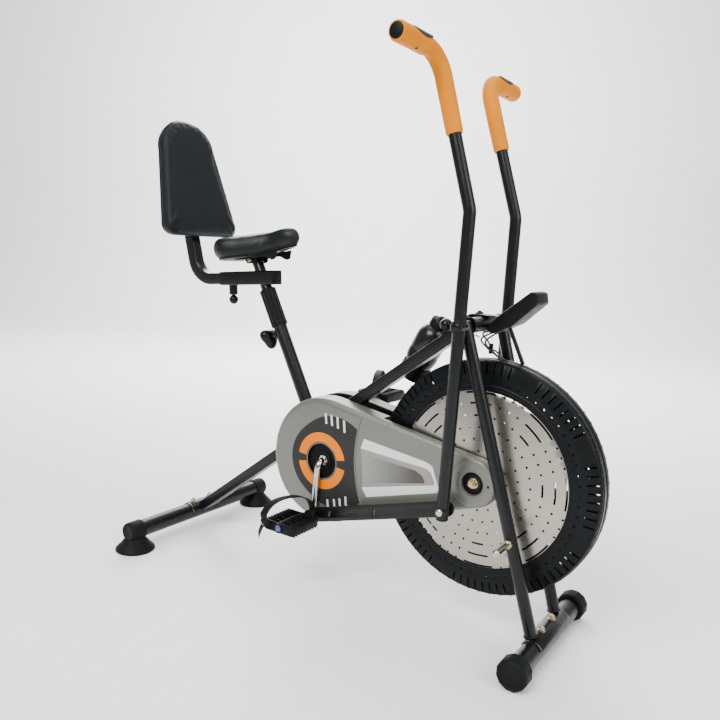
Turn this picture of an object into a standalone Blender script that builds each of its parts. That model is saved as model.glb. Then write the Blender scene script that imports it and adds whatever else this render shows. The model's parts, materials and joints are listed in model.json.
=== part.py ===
"""Air bike: an upright exercise bike whose cranks drive a caged fan and a pair of swinging arms.

Metres, +Z up, +X forward, +Y to the rider's left.  The floor is Z = 0.
"""

import math

import bmesh
import bpy
from mathutils import Matrix, Vector

# ---------------------------------------------------------------- driving dimensions
FRONT_X = 0.58845           # front foot, ahead of the origin
GAP = 0.0003                # clearance between pieces that touch
SIDES = {"right": -1, "left": 1}


def at(back, side, up):
    """A point given by its distance behind the front foot, to the left, and above the floor."""
    return Vector((FRONT_X - back, side, up))


FRONT_FOOT = at(0, 0, 0.035)
REAR_FOOT = at(1.152, 0, 0.056)
CRANK_CENTRE = at(0.616, 0, 0.343)
FAN_CENTRE = at(0.1785, 0, 0.382)
ARM_PIVOT = at(0.214, 0, 0.745)
SEAT_TUBE_FOOT = at(0.698, 0, 0.3995)

BEAM_SLOPE = math.radians(37.2)
BEAM_WIDTH = 0.040
BEAM_HEIGHT = 0.030
BEAM_DIRECTION = Vector((math.cos(BEAM_SLOPE), 0, math.sin(BEAM_SLOPE)))
BEAM_NORMAL = Vector((-math.sin(BEAM_SLOPE), 0, math.cos(BEAM_SLOPE)))

SEAT_LEAN = math.radians(27.6)
SEAT_DIRECTION = Vector((-math.sin(SEAT_LEAN), 0, math.cos(SEAT_LEAN)))
SEAT_TUBE_RADIUS = 0.019
SEAT_POST_RADIUS = 0.016
SEAT_TUBE_LENGTH = 0.328
CARRIER_HEIGHT_ON_POST = 0.460
CARRIER_TILT = math.radians(4.6)
CARRIER_SIDE = 0.040
BACK_TUBE_SIDE = 0.034
BACK_LEAN = math.radians(15.6)
BACK_TUBE_REACH = 0.2627     # seat post to the bend, so that the tube stands right behind the board
KNOB_ON_SEAT_TUBE = 0.294

STABILISER_RADIUS = 0.025
FRONT_HALF = 0.209
REAR_HALF = 0.285
SADDLE_WALL = 0.0033
FOOT_BOLT_Y = 0.034

TUBE_RADIUS = 0.0145        # legs and arms
LEG_FOOT_Y = 0.074
LEG_TOP_Y = 0.0975
ARM_Y = 0.130
ARM_BELOW = 0.425           # pivot to the link bolt
ARM_ABOVE = 0.251           # pivot to the knee
ARM_UPPER = 0.346           # knee to the grip's corner
ARM_KNEE = math.radians(18.05)
ARM_BEND = 0.055            # centre-line radius of the bends in the arm
GRIP_OUT = 0.172
GRIP_START = 0.166

CRANK_LENGTH = 0.145
CRANK_REST = math.radians(4.5)
CRANK_Y = 0.090
CRANK_ROD = 0.008
LINK_LENGTH = 0.422
LINK_HALF_HEIGHT = 0.019
LINK_INNER = 0.108
LINK_OUTER = 0.1135
SPINDLE_END = 0.232
PEDAL_Y = 0.1815
PEDAL_SIZE = (0.105, 0.105, 0.030)

CASE_INNER = 0.022
CASE_OUTER = 0.078
CASE_WALL = 0.0025
CASE_RADIUS = 0.168
CASE_NOSE = 0.059
FAN_RADIUS = 0.282
FAN_DISC_RADIUS = 0.212
CHAIN_Y = -0.062
CHAIN_PITCH = 0.0127
CHAINWHEEL_TEETH = 44
SPROCKET_TEETH = 14

Y_AXIS = Vector((0, 1, 0))

BLACK_PAINT = (0.020, 0.022, 0.023, 1)
BLACK_PLASTIC = (0.018, 0.019, 0.020, 1)
RUBBER = (0.025, 0.026, 0.026, 1)
SILVER_PLASTIC = (0.30, 0.30, 0.29, 1)
SILVER_SHEET = (0.52, 0.50, 0.46, 1)
CHROME = (0.75, 0.74, 0.72, 1)
ZINC = (0.60, 0.55, 0.40, 1)
VINYL = (0.035, 0.042, 0.050, 1)
ORANGE = (0.95, 0.33, 0.035, 1)
WOOD = (0.30, 0.20, 0.10, 1)

# ---------------------------------------------------------------- scene and helpers
for old in list(bpy.data.objects):
    bpy.data.objects.remove(old, do_unlink=True)

parts = bpy.data.collections.new("air_bike")
cutters = bpy.data.collections.new("cutters")
bpy.context.scene.collection.children.link(parts)
bpy.context.scene.collection.children.link(cutters)
cutters.hide_render = True


def move_to(obj, collection):
    for old_home in list(obj.users_collection):
        old_home.objects.unlink(obj)
    collection.objects.link(obj)


def helper(obj):
    """Make an object a cutter or a piece of a union: it is never a part itself."""
    move_to(obj, cutters)
    obj.hide_render = True
    obj.display_type = "WIRE"
    return obj


def part(obj, name, colour, roughness=0.5, metallic=0.0):
    """Name a finished part and give it its own material."""
    obj.name = name
    move_to(obj, parts)
    material = bpy.data.materials.new(name)
    material.use_nodes = True
    shader = material.node_tree.nodes["Principled BSDF"]
    shader.inputs["Base Color"].default_value = colour
    shader.inputs["Roughness"].default_value = roughness
    shader.inputs["Metallic"].default_value = metallic
    obj.data.materials.clear()
    obj.data.materials.append(material)
    obj.data.shade_smooth()
    obj.data.set_sharp_from_angle(angle=math.radians(35))
    return obj


def stand(obj, start, end):
    """Lay an object made along its local Z on the line from start to end, centred."""
    obj.location = (start + end) / 2
    obj.rotation_mode = "QUATERNION"
    obj.rotation_quaternion = (end - start).to_track_quat("Z", "Y")
    return obj


def rod(start, end, radius, end_radius=None, sides=24):
    """A solid round bar, or a cone when end_radius is given."""
    bpy.ops.mesh.primitive_cone_add(
        vertices=sides,
        radius1=radius,
        radius2=radius if end_radius is None else end_radius,
        depth=(end - start).length,
    )
    return stand(bpy.context.object, start, end)


def ball(centre, radius, segments=16):
    bpy.ops.mesh.primitive_uv_sphere_add(
        segments=segments, ring_count=segments // 2, radius=radius, location=centre
    )
    return bpy.context.object


def block(centre, size, tilt=0.0):
    """A box whose local X is raised by tilt in the XZ plane."""
    bpy.ops.mesh.primitive_cube_add(size=1, location=centre)
    obj = bpy.context.object
    obj.data.transform(Matrix.Diagonal((*size, 1)))
    obj.rotation_euler = (0, -tilt, 0)
    return obj


def bevel(obj, width, segments=1, angle=40):
    modifier = obj.modifiers.new("rounded edges", "BEVEL")
    modifier.width = width
    modifier.segments = segments
    modifier.limit_method = "ANGLE"
    modifier.angle_limit = math.radians(angle)
    return obj


def combine(obj, operation, tools):
    for tool in tools:
        modifier = obj.modifiers.new(operation.lower(), "BOOLEAN")
        modifier.operation = operation
        modifier.solver = "EXACT"
        modifier.object = helper(tool)
    return obj


def cut(obj, *tools):
    return combine(obj, "DIFFERENCE", tools)


def unite(obj, *tools):
    return combine(obj, "UNION", tools)


def as_mesh(curve_object):
    """Turn a curve object into a closed mesh object."""
    bpy.context.view_layer.update()
    graph = bpy.context.evaluated_depsgraph_get()
    mesh = bpy.data.meshes.new_from_object(curve_object.evaluated_get(graph))
    form = bmesh.new()
    form.from_mesh(mesh)
    bmesh.ops.remove_doubles(form, verts=form.verts, dist=0.00001)
    bmesh.ops.recalc_face_normals(form, faces=form.faces)
    form.to_mesh(mesh)
    form.free()
    obj = bpy.data.objects.new(curve_object.name, mesh)
    parts.objects.link(obj)
    obj.matrix_world = curve_object.matrix_world.copy()
    bpy.data.objects.remove(curve_object, do_unlink=True)
    return obj


def new_curve(points, dimensions, cyclic):
    curve = bpy.data.curves.new("curve", "CURVE")
    curve.dimensions = dimensions
    spline = curve.splines.new("POLY")
    spline.points.add(len(points) - 1)
    for point, place in zip(spline.points, points):
        point.co = (*place, *([0] * (3 - len(place))), 1)
    spline.use_cyclic_u = cyclic
    obj = bpy.data.objects.new("curve", curve)
    parts.objects.link(obj)
    return obj


def tube(points, radius, resolution=4, cyclic=False):
    """A solid round bar along a path."""
    obj = new_curve(points, "3D", cyclic)
    obj.data.bevel_depth = radius
    obj.data.bevel_resolution = resolution
    obj.data.use_fill_caps = True
    return as_mesh(obj)


def plate(outline, y_from, y_to):
    """A flat piece with the given outline in the XZ plane, between two Y values."""
    obj = new_curve(outline, "2D", True)
    obj.data.fill_mode = "BOTH"
    obj.data.extrude = abs(y_to - y_from) / 2
    obj.rotation_euler = (math.pi / 2, 0, 0)
    obj.location = (0, (y_from + y_to) / 2, 0)
    return as_mesh(obj)


def turned(profile, centre, axis=Y_AXIS, steps=32):
    """A solid of revolution: profile is (radius, height) from the top down its outer side."""
    mesh = bpy.data.meshes.new("profile")
    count = len(profile)
    closed = profile[0][0] > 0
    edges = [(i, i + 1) for i in range(count - 1)] + ([(count - 1, 0)] if closed else [])
    mesh.from_pydata([(radius, 0, height) for radius, height in profile], edges, [])
    obj = bpy.data.objects.new("turned", mesh)
    parts.objects.link(obj)
    screw = obj.modifiers.new("turned", "SCREW")
    screw.steps = steps
    screw.render_steps = steps
    screw.use_merge_vertices = True
    screw.merge_threshold = 0.00001
    screw.use_smooth_shade = True
    obj.location = centre
    obj.rotation_mode = "QUATERNION"
    obj.rotation_quaternion = axis.to_track_quat("Z", "Y")
    return obj


def rounded_path(corners, radius, steps=6):
    """The corners joined by straight lines, with each inner corner turned at the given radius."""
    path = [corners[0]]
    for before, corner, after in zip(corners, corners[1:], corners[2:]):
        back = (before - corner).normalized()
        ahead = (after - corner).normalized()
        half = back.angle(ahead) / 2
        setback = radius / math.tan(half)
        centre = corner + (back + ahead).normalized() * radius / math.sin(half)
        start = corner + back * setback - centre
        end = corner + ahead * setback - centre
        sweep = start.angle(end)
        for step in range(steps + 1):
            share = step / steps
            path.append(
                centre
                + (start * math.sin((1 - share) * sweep) + end * math.sin(share * sweep))
                / math.sin(sweep)
            )
    path.append(corners[-1])
    return path


def stretched(path, extra):
    """The same path with both ends carried on by extra, for a bore that runs right through."""
    first = path[0] + (path[0] - path[1]).normalized() * extra
    last = path[-1] + (path[-1] - path[-2]).normalized() * extra
    return [first, *path[1:-1], last]


def pipe(start, end, radius, wall, sides=24):
    """A straight round tube, open at both ends."""
    over = (end - start).normalized() * 0.004
    return cut(rod(start, end, radius, sides=sides), rod(start - over, end + over, radius - wall, sides=sides))


def ribbon(path, half_height, half_width):
    """A bar of rectangular section along a path in the XZ plane."""
    above, below = [], []
    for i, point in enumerate(path):
        before = path[max(i - 1, 0)]
        after = path[min(i + 1, len(path) - 1)]
        along = (after - before).normalized()
        side = Vector((-along.z, 0, along.x)) * half_height
        above.append(point + side)
        below.append(point - side)
    outline = [(point.x, point.z) for point in above + below[::-1]]
    return plate(outline, -half_width, half_width)


def arc(centre, radius, start, end, steps):
    """Points (x, z) on an arc, angles in degrees from +X towards +Z."""
    angles = [math.radians(start + (end - start) * i / steps) for i in range(steps + 1)]
    return [(centre.x + radius * math.cos(a), centre.z + radius * math.sin(a)) for a in angles]


def teardrop(centre, radius, nose_centre, nose_radius, steps=40):
    """Two circles joined by their outer tangents, as (x, z) points."""
    reach = nose_centre - centre
    heading = math.degrees(math.atan2(reach.z, reach.x))
    spread = math.degrees(math.acos((radius - nose_radius) / reach.length))
    big = arc(centre, radius, heading + spread, heading + 360 - spread, steps)
    small = arc(nose_centre, nose_radius, heading - spread, heading + spread, steps // 2)
    return big + small


def across(point, y):
    return Vector((point.x, y, point.z))


def joint(name, place, children):
    """Hang a moving body's parts on an empty that stands on the joint's axis."""
    empty = bpy.data.objects.new(name, None)
    empty.empty_display_size = 0.03
    empty.location = place
    parts.objects.link(empty)
    bpy.context.view_layer.update()
    for child in children:
        child.parent = empty
        child.matrix_parent_inverse = empty.matrix_world.inverted()


# ---------------------------------------------------------------- linkage at rest
def crank_pin(side):
    """The right crank points down and a little back, the left one the other way."""
    direction = Vector((-math.sin(CRANK_REST), 0, -math.cos(CRANK_REST)))
    return CRANK_CENTRE + direction * CRANK_LENGTH * -side


def link_bolt(side):
    """Where the arm's lower bolt lies, so that the link spans from it to the crank pin."""
    pin = crank_pin(side)
    reach = ARM_PIVOT - pin
    along = (reach.length_squared + LINK_LENGTH**2 - ARM_BELOW**2) / (2 * reach.length)
    off = math.sqrt(LINK_LENGTH**2 - along**2)
    unit = reach.normalized()
    return pin + unit * along + Vector((unit.z, 0, -unit.x)) * off


def arm_axes(side):
    """Unit vectors up the arm below the knee and above it."""
    lower = (ARM_PIVOT - link_bolt(side)).normalized()
    turn = Matrix.Rotation(-ARM_KNEE, 3, "Y")
    return lower, turn @ lower


# ---------------------------------------------------------------- frame
def beam_point(x):
    """The point on the main beam's centre line at the given X."""
    return SEAT_TUBE_FOOT + BEAM_DIRECTION * (x - SEAT_TUBE_FOOT.x) / BEAM_DIRECTION.x


def saddle_plate(centre, half_length, start, end):
    """Curved plate on top of a foot tube, with a hole for each foot bolt."""
    inner, outer = STABILISER_RADIUS + GAP, STABILISER_RADIUS + SADDLE_WALL
    outline = arc(centre, outer, start, end, 12) + arc(centre, inner, end, start, 12)
    saddle = plate(outline, -half_length, half_length)
    for side in SIDES.values():
        hole = Vector((centre.x, side * FOOT_BOLT_Y, centre.z))
        cut(saddle, rod(hole, hole + Vector((0, 0, 0.05)), 0.0043, sides=12))
    return saddle


def make_main_beam():
    rear = beam_point(REAR_FOOT.x)
    front = beam_point(ARM_PIVOT.x - 0.020)
    length = (front - rear).length
    beam = block((rear + front) / 2, (length, BEAM_WIDTH, BEAM_HEIGHT), BEAM_SLOPE)
    bevel(beam, 0.0025)
    bore = block((rear + front) / 2, (length + 0.1, BEAM_WIDTH - 0.004, BEAM_HEIGHT - 0.004), BEAM_SLOPE)
    cut(
        beam,
        bore,
        rod(across(REAR_FOOT, -0.1), across(REAR_FOOT, 0.1), STABILISER_RADIUS + 0.0018, sides=36),
        rod(across(ARM_PIVOT, -0.1), across(ARM_PIVOT, 0.1), 0.018 + GAP, sides=36),
    )
    unite(beam, saddle_plate(REAR_FOOT, 0.055, 10, 150))
    part(beam, "main_beam", BLACK_PAINT, 0.45)


def make_drive_hanger():
    """Crank shell on a strut under the beam, with a cross tube ahead of it for the fan stays."""
    top = beam_point(CRANK_CENTRE.x + 0.012) - BEAM_NORMAL * (BEAM_HEIGHT / 2 + GAP)
    hanger = rod(across(CRANK_CENTRE, -0.034), across(CRANK_CENTRE, 0.034), 0.023)
    cross = CRANK_CENTRE + Vector((0.123, 0, 0.017))
    strut = block(
        Vector((CRANK_CENTRE.x + 0.012, 0, (CRANK_CENTRE.z + top.z) / 2 + 0.02)),
        (0.030, 0.030, top.z - CRANK_CENTRE.z + 0.04),
    )
    bar = block((CRANK_CENTRE + cross) / 2, ((cross - CRANK_CENTRE).length, 0.030, 0.030))
    unite(hanger, strut, bar, rod(across(cross, -0.0677), across(cross, 0.0677), 0.014))
    above_beam = block(top + BEAM_NORMAL * 0.05, (0.2, 0.1, 0.1), BEAM_SLOPE)
    cut(hanger, above_beam, rod(across(CRANK_CENTRE, -0.04), across(CRANK_CENTRE, 0.04), 0.0115))
    part(hanger, "drive_hanger", BLACK_PAINT, 0.45)


def make_fan_stay(name, side):
    """Flat bar from the cross tube to the fan axle."""
    rear = CRANK_CENTRE + Vector((0.123, 0, 0.017))
    stay = plate(teardrop(rear, 0.020, FAN_CENTRE, 0.0199, 24), side * 0.068, side * 0.073)
    cut(stay, rod(across(FAN_CENTRE, side * 0.06), across(FAN_CENTRE, side * 0.08), 0.0065))
    part(stay, f"fan_stay_{name}", BLACK_PAINT, 0.45)


def make_pivot_housing():
    housing = rod(across(ARM_PIVOT, -0.082), across(ARM_PIVOT, 0.082), 0.018)
    cut(housing, rod(across(ARM_PIVOT, -0.1), across(ARM_PIVOT, 0.1), 0.0085))
    part(housing, "pivot_housing", BLACK_PAINT, 0.45)


def make_leg(name, side):
    foot = across(FRONT_FOOT, side * LEG_FOOT_Y) + Vector((-0.004, 0, 0.010))
    top = across(ARM_PIVOT, side * LEG_TOP_Y)
    leg = pipe(foot, top + (top - foot).normalized() * 0.012, TUBE_RADIUS, 0.002)
    cut(
        leg,
        rod(across(FRONT_FOOT, -0.3), across(FRONT_FOOT, 0.3), 0.0283 + GAP, sides=36),
        rod(across(ARM_PIVOT, -0.2), across(ARM_PIVOT, 0.2), 0.0083),
        rod(across(ARM_PIVOT, side * 0.06), across(ARM_PIVOT, side * (0.082 + GAP)), 0.03),
    )
    part(leg, f"leg_{name}", BLACK_PAINT, 0.45)


def make_seat_tube():
    top = SEAT_TUBE_FOOT + SEAT_DIRECTION * SEAT_TUBE_LENGTH
    seat_tube = pipe(SEAT_TUBE_FOOT, top, SEAT_TUBE_RADIUS, 0.002)
    below = block(
        SEAT_TUBE_FOOT + BEAM_NORMAL * (BEAM_HEIGHT / 2 + GAP - 0.05), (0.2, 0.1, 0.1), BEAM_SLOPE
    )
    knob = SEAT_TUBE_FOOT + SEAT_DIRECTION * KNOB_ON_SEAT_TUBE
    out = Vector((-math.cos(SEAT_LEAN), 0, -math.sin(SEAT_LEAN)))
    unite(seat_tube, rod(knob + out * 0.0175, knob + out * 0.034, 0.010))
    cut(seat_tube, below, rod(knob, knob + out * 0.06, 0.0045, sides=20))
    part(seat_tube, "seat_tube", BLACK_PAINT, 0.45)


def make_stabiliser(name, centre, half, cap_length):
    inner = half - cap_length
    bar = pipe(across(centre, -inner), across(centre, inner), STABILISER_RADIUS, 0.002, 32)
    for side in SIDES.values():
        cut(bar, rod(
            Vector((centre.x, side * FOOT_BOLT_Y, centre.z)),
            Vector((centre.x, side * FOOT_BOLT_Y, centre.z + 0.05)),
            0.0043,
            sides=20,
        ))
    part(bar, name, BLACK_PAINT, 0.45)


def make_front_cap(name, side):
    """Twelve-sided levelling cap that the front of the bike stands on."""
    centre = across(FRONT_FOOT, side * FRONT_HALF)
    inward = Vector((0, -side, 0))
    profile = [(0.0, 0.0), (0.030, 0.0), (0.0362, 0.006), (0.0362, 0.036), (0.0315, 0.042)]
    profile += [(0.0263, 0.042), (0.0263, 0.0135), (0.0, 0.0135)]
    cap = turned([(radius, -height) for radius, height in profile], centre, -inward, 12)
    cap.rotation_quaternion @= Matrix.Rotation(math.radians(15), 3, "Z").to_quaternion()
    part(cap, f"front_cap_{name}", RUBBER, 0.7)


def make_rear_foot(name, side):
    """Round end cap with a wide cone under it that the back of the bike stands on."""
    centre = across(REAR_FOOT, side * REAR_HALF)
    inner = across(REAR_FOOT, side * (REAR_HALF - 0.048))
    cap = bevel(rod(centre, inner, 0.0285, sides=28), 0.006)
    middle = across(REAR_FOOT, side * (REAR_HALF - 0.028))
    floor = Vector((middle.x, middle.y, 0))
    cone = rod(floor, floor + Vector((0, 0, 0.045)), 0.056, 0.022, 32)
    unite(cap, cone)
    bore = rod(across(REAR_FOOT, side * (REAR_HALF - 0.0135)), across(REAR_FOOT, side * 0.15), 0.0255)
    part(cut(cap, bore), f"rear_foot_{name}", RUBBER, 0.7)


def make_front_saddle():
    """Curved plate that the legs stand on, bolted over the front foot tube."""
    part(saddle_plate(FRONT_FOOT, 0.092, 25, 155), "front_saddle", BLACK_PAINT, 0.45)


def make_foot_bolt(name, centre, side):
    """Bolt through the foot tube's top wall, with a domed nut on the saddle."""
    base = Vector((centre.x, side * FOOT_BOLT_Y, centre.z))
    top = base + Vector((0, 0, STABILISER_RADIUS + SADDLE_WALL + GAP))
    bolt = rod(base + Vector((0, 0, 0.004)), top + Vector((0, 0, 0.004)), 0.004, sides=20)
    unite(bolt, rod(top, top + Vector((0, 0, 0.006)), 0.0078, sides=6))
    unite(bolt, ball(top + Vector((0, 0, 0.0055)), 0.0062, 16))
    part(bolt, name, ZINC, 0.3, 1.0)


def make_foot_peg(name, side):
    """Chromed peg through the leg, where the rider rests a foot."""
    height = 0.272
    share = (height - FRONT_FOOT.z - 0.010) / (ARM_PIVOT.z - FRONT_FOOT.z - 0.010)
    x = FRONT_FOOT.x - 0.004 + (ARM_PIVOT.x - FRONT_FOOT.x + 0.004) * share
    y = LEG_FOOT_Y + (LEG_TOP_Y - LEG_FOOT_Y) * share
    surface = y + TUBE_RADIUS
    inner = Vector((x, side * (surface + 0.0012), height))
    peg = rod(inner, Vector((x, side * 0.162, height)), 0.0065)
    unite(
        peg,
        rod(inner, inner + Vector((0, side * 0.008, 0)), 0.0110, sides=6),
        ball(Vector((x, side * 0.162, height)), 0.0085, 16),
    )
    part(peg, f"foot_peg_{name}", CHROME, 0.15, 1.0)


# ---------------------------------------------------------------- seat and back
def carrier_point(along, above=0.0):
    """A point by its distance ahead of the post along the carrier, and above its centre line."""
    centre = SEAT_TUBE_FOOT + SEAT_DIRECTION * CARRIER_HEIGHT_ON_POST
    turn = Matrix.Rotation(-CARRIER_TILT, 3, "Y")
    return centre + turn @ Vector((along, 0, above))


def make_seat_post():
    start = SEAT_TUBE_FOOT + SEAT_DIRECTION * 0.150
    end = SEAT_TUBE_FOOT + SEAT_DIRECTION * 0.503
    post = pipe(start, end, SEAT_POST_RADIUS, 0.002)
    return part(post, "seat_post", BLACK_PAINT, 0.4)


def make_post_sleeve():
    """Fluted plastic bush on top of the seat tube, up to the carrier."""
    start = SEAT_TUBE_FOOT + SEAT_DIRECTION * 0.312
    length = 0.110
    bore, over_tube, outer = SEAT_POST_RADIUS + 0.0005, SEAT_TUBE_RADIUS + GAP, 0.0235
    step = SEAT_TUBE_LENGTH - 0.312 + GAP
    profile = [(bore, length), (outer, length), (outer, 0.0)]
    profile += [(over_tube, 0.0), (over_tube, step), (bore, step)]
    sleeve = turned(profile, start, SEAT_DIRECTION, 24)
    part(sleeve, "post_sleeve", BLACK_PLASTIC, 0.5)


def make_height_knob():
    centre = SEAT_TUBE_FOOT + SEAT_DIRECTION * KNOB_ON_SEAT_TUBE
    out = Vector((-math.cos(SEAT_LEAN), 0, -math.sin(SEAT_LEAN)))
    pin = rod(centre + out * 0.0172, centre + out * 0.05, 0.004, sides=20)
    grip = bevel(rod(centre + out * 0.0352, centre + out * 0.062, 0.016, 0.024, 24), 0.004)
    unite(pin, grip)
    return part(pin, "height_knob", BLACK_PLASTIC, 0.4)


def make_seat_carrier():
    middle = (carrier_point(-0.155) + carrier_point(0.050)) / 2
    carrier = bevel(block(middle, (0.205, CARRIER_SIDE, CARRIER_SIDE), CARRIER_TILT), 0.0025)
    bore = block(middle, (0.3, CARRIER_SIDE - 0.004, CARRIER_SIDE - 0.004), CARRIER_TILT)
    post = rod(carrier_point(0) - SEAT_DIRECTION * 0.1, carrier_point(0) + SEAT_DIRECTION * 0.1, 0.0163)
    cut(carrier, bore, post)
    unite(carrier, rod(carrier_point(-0.120, -0.019), carrier_point(-0.120, -0.048), 0.0125))
    pin_hole = rod(carrier_point(-0.120, -0.010), carrier_point(-0.120, -0.060), 0.0045, sides=20)
    cut(carrier, pin_hole)
    return part(carrier, "seat_carrier", BLACK_PAINT, 0.45)


def make_carrier_cap():
    cap = block(carrier_point(0.0517), (0.003, CARRIER_SIDE, CARRIER_SIDE), CARRIER_TILT)
    plug = block(carrier_point(0.0443), (0.014, CARRIER_SIDE - 0.005, CARRIER_SIDE - 0.005), CARRIER_TILT)
    return part(unite(cap, plug), "carrier_cap", BLACK_PLASTIC, 0.5)


def make_back_plunger():
    """Sprung pull pin under the carrier, with a ball to grip."""
    pin = rod(carrier_point(-0.120, -0.0182), carrier_point(-0.120, -0.062), 0.004, sides=20)
    unite(pin, ball(carrier_point(-0.120, -0.0625), 0.0136))
    return part(pin, "back_plunger", BLACK_PLASTIC, 0.35)


BACK_UP = Vector((-math.sin(BACK_LEAN), 0, math.cos(BACK_LEAN)))
BACK_FORWARD = Vector((math.cos(BACK_LEAN), 0, math.sin(BACK_LEAN)))
PAD_FOOT = at(1.163, 0, 0.915)      # bottom of the back pad, middle of its thickness
PAD_HEIGHT = 0.352


def make_back_tube():
    corner = carrier_point(-BACK_TUBE_REACH)
    start = carrier_point(-0.045)
    end = corner + BACK_UP * 0.285
    path = rounded_path([start, corner, end], 0.075, 8)
    half = BACK_TUBE_SIDE / 2
    back_tube = ribbon(path, half, half)
    cut(back_tube, ribbon(stretched(path, 0.004), half - 0.002, half - 0.002))
    return part(back_tube, "back_tube", BLACK_PAINT, 0.4)


def pad_outline(inset=0.0):
    """Tapered outline with a round top, as (across, up) points."""
    bottom, shoulder, top, corner = 0.138 - inset, 0.100 - inset, PAD_HEIGHT - inset, 0.030
    points = []
    for i in range(7):
        angle = math.radians(-90 + 85 * i / 6)
        points.append((
            bottom - corner + corner * math.cos(angle),
            inset + corner + corner * math.sin(angle),
        ))
    for i in range(13):
        angle = math.radians(90 * i / 12)
        points.append((shoulder * math.cos(angle) ** 0.8, 0.262 + (top - 0.262) * math.sin(angle)))
    left = [(-x, z) for x, z in reversed(points) if x > 0.001]
    return points + left


def pad_slab(outline, centre_offset, thickness):
    """A slab with the pad's outline, standing at the back's lean."""
    slab = new_curve(outline, "2D", True)
    slab.data.fill_mode = "BOTH"
    slab.data.extrude = thickness / 2
    frame = Matrix((
        (0, BACK_UP.x, BACK_FORWARD.x, 0),
        (1, BACK_UP.y, BACK_FORWARD.y, 0),
        (0, BACK_UP.z, BACK_FORWARD.z, 0),
        (0, 0, 0, 1),
    ))
    slab.matrix_world = Matrix.Translation(PAD_FOOT + BACK_FORWARD * centre_offset) @ frame
    return as_mesh(slab)


def make_back_board():
    board = pad_slab(pad_outline(0.012), -0.0225, 0.009)
    return part(board, "back_board", WOOD, 0.8)


def make_back_pad():
    pad = bevel(pad_slab(pad_outline(), 0.0042, 0.044), 0.010, 2, 60)
    return part(pad, "back_pad", VINYL, 0.6)


SADDLE_PIVOT = SEAT_TUBE_FOOT + SEAT_DIRECTION * 0.515
SADDLE_TILT = math.radians(9)
SADDLE_LENGTH = 0.284
SADDLE_BEHIND = 0.120      # how much of it lies behind the tilt bolt


def saddle_point(along, side, above):
    turn = Matrix.Rotation(-SADDLE_TILT, 3, "Y")
    return SADDLE_PIVOT + turn @ Vector((along, side, above))


def make_saddle_clamp():
    """Clamp on top of the seat post, with the bolt that the saddle tilts on."""
    base = SEAT_TUBE_FOOT + SEAT_DIRECTION * (0.503 + GAP)
    clamp = bevel(rod(base, SADDLE_PIVOT + SEAT_DIRECTION * 0.004, 0.0165), 0.002)
    unite(clamp, rod(across(SADDLE_PIVOT, -0.022), across(SADDLE_PIVOT, 0.022), 0.009))
    unite(
        clamp,
        rod(across(SADDLE_PIVOT, -0.034), across(SADDLE_PIVOT, 0.034), 0.0038, sides=20),
        rod(across(SADDLE_PIVOT, -0.0345), across(SADDLE_PIVOT, -0.0288), 0.0075, sides=6),
        rod(across(SADDLE_PIVOT, 0.0288), across(SADDLE_PIVOT, 0.0345), 0.0075, sides=6),
    )
    return part(clamp, "saddle_clamp", BLACK_PAINT, 0.4)


def saddle_half_width(share):
    """Half width of the saddle at a share of its length from the back."""
    widest, back = 0.104, 0.26
    if share < back:
        return widest * math.sqrt(1 - ((share - back) / (back + 0.01)) ** 2)
    taper = 0.5 + 0.5 * math.cos(math.pi * min(1.0, (share - back) / 0.46))
    tip = max(0.0, (share - 0.86) / 0.14)
    nose = (0.034 - 0.006 * share) * math.sqrt(1 - tip**2)
    return nose + (widest - 0.0325) * taper


def saddle_outline(scale, steps=14):
    side = []
    for i in range(steps + 1):
        share = 0.5 - 0.5 * math.cos(math.pi * i / steps)
        side.append((SADDLE_LENGTH * share - SADDLE_BEHIND, saddle_half_width(share) * scale))
    inner = [point for point in side if point[1] > 0.0005]
    return inner + [(x, -y) for x, y in reversed(inner)]


def saddle_slab(scale, below, above):
    slab = new_curve(saddle_outline(scale), "2D", True)
    slab.data.fill_mode = "BOTH"
    slab.data.extrude = (above - below) / 2
    slab.matrix_world = (
        Matrix.Translation(saddle_point(0, 0, (above + below) / 2))
        @ Matrix.Rotation(-SADDLE_TILT, 4, "Y")
    )
    return as_mesh(slab)


def make_saddle_tray():
    """Moulded base under the saddle's cushion, with two lugs on the tilt bolt."""
    tray = saddle_slab(0.92, 0.013, 0.019)
    for side in SIDES.values():
        outline = teardrop(SADDLE_PIVOT, 0.010, saddle_point(0, 0, 0.009), 0.0085, 16)
        unite(tray, plate(outline, side * 0.0226, side * 0.0281))
    cut(tray, rod(saddle_point(0, -0.05, 0), saddle_point(0, 0.05, 0), 0.0042, sides=20))
    return part(tray, "saddle_tray", BLACK_PLASTIC, 0.6)


def make_saddle_cushion():
    cushion = bevel(saddle_slab(1.0, 0.0193, 0.060), 0.014, 2, 60)
    return part(cushion, "saddle_cushion", VINYL, 0.5)


# ---------------------------------------------------------------- drive
def gear_outline(centre, teeth):
    """Sprocket outline as (x, z) points: a root and a tip for each tooth."""
    pitch_radius = teeth * CHAIN_PITCH / (2 * math.pi)
    points = []
    for i in range(2 * teeth):
        angle = math.pi * i / teeth
        radius = pitch_radius + (0.0015 if i % 2 else -0.003)
        points.append((centre.x + radius * math.cos(angle), centre.z + radius * math.sin(angle)))
    return points


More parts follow.
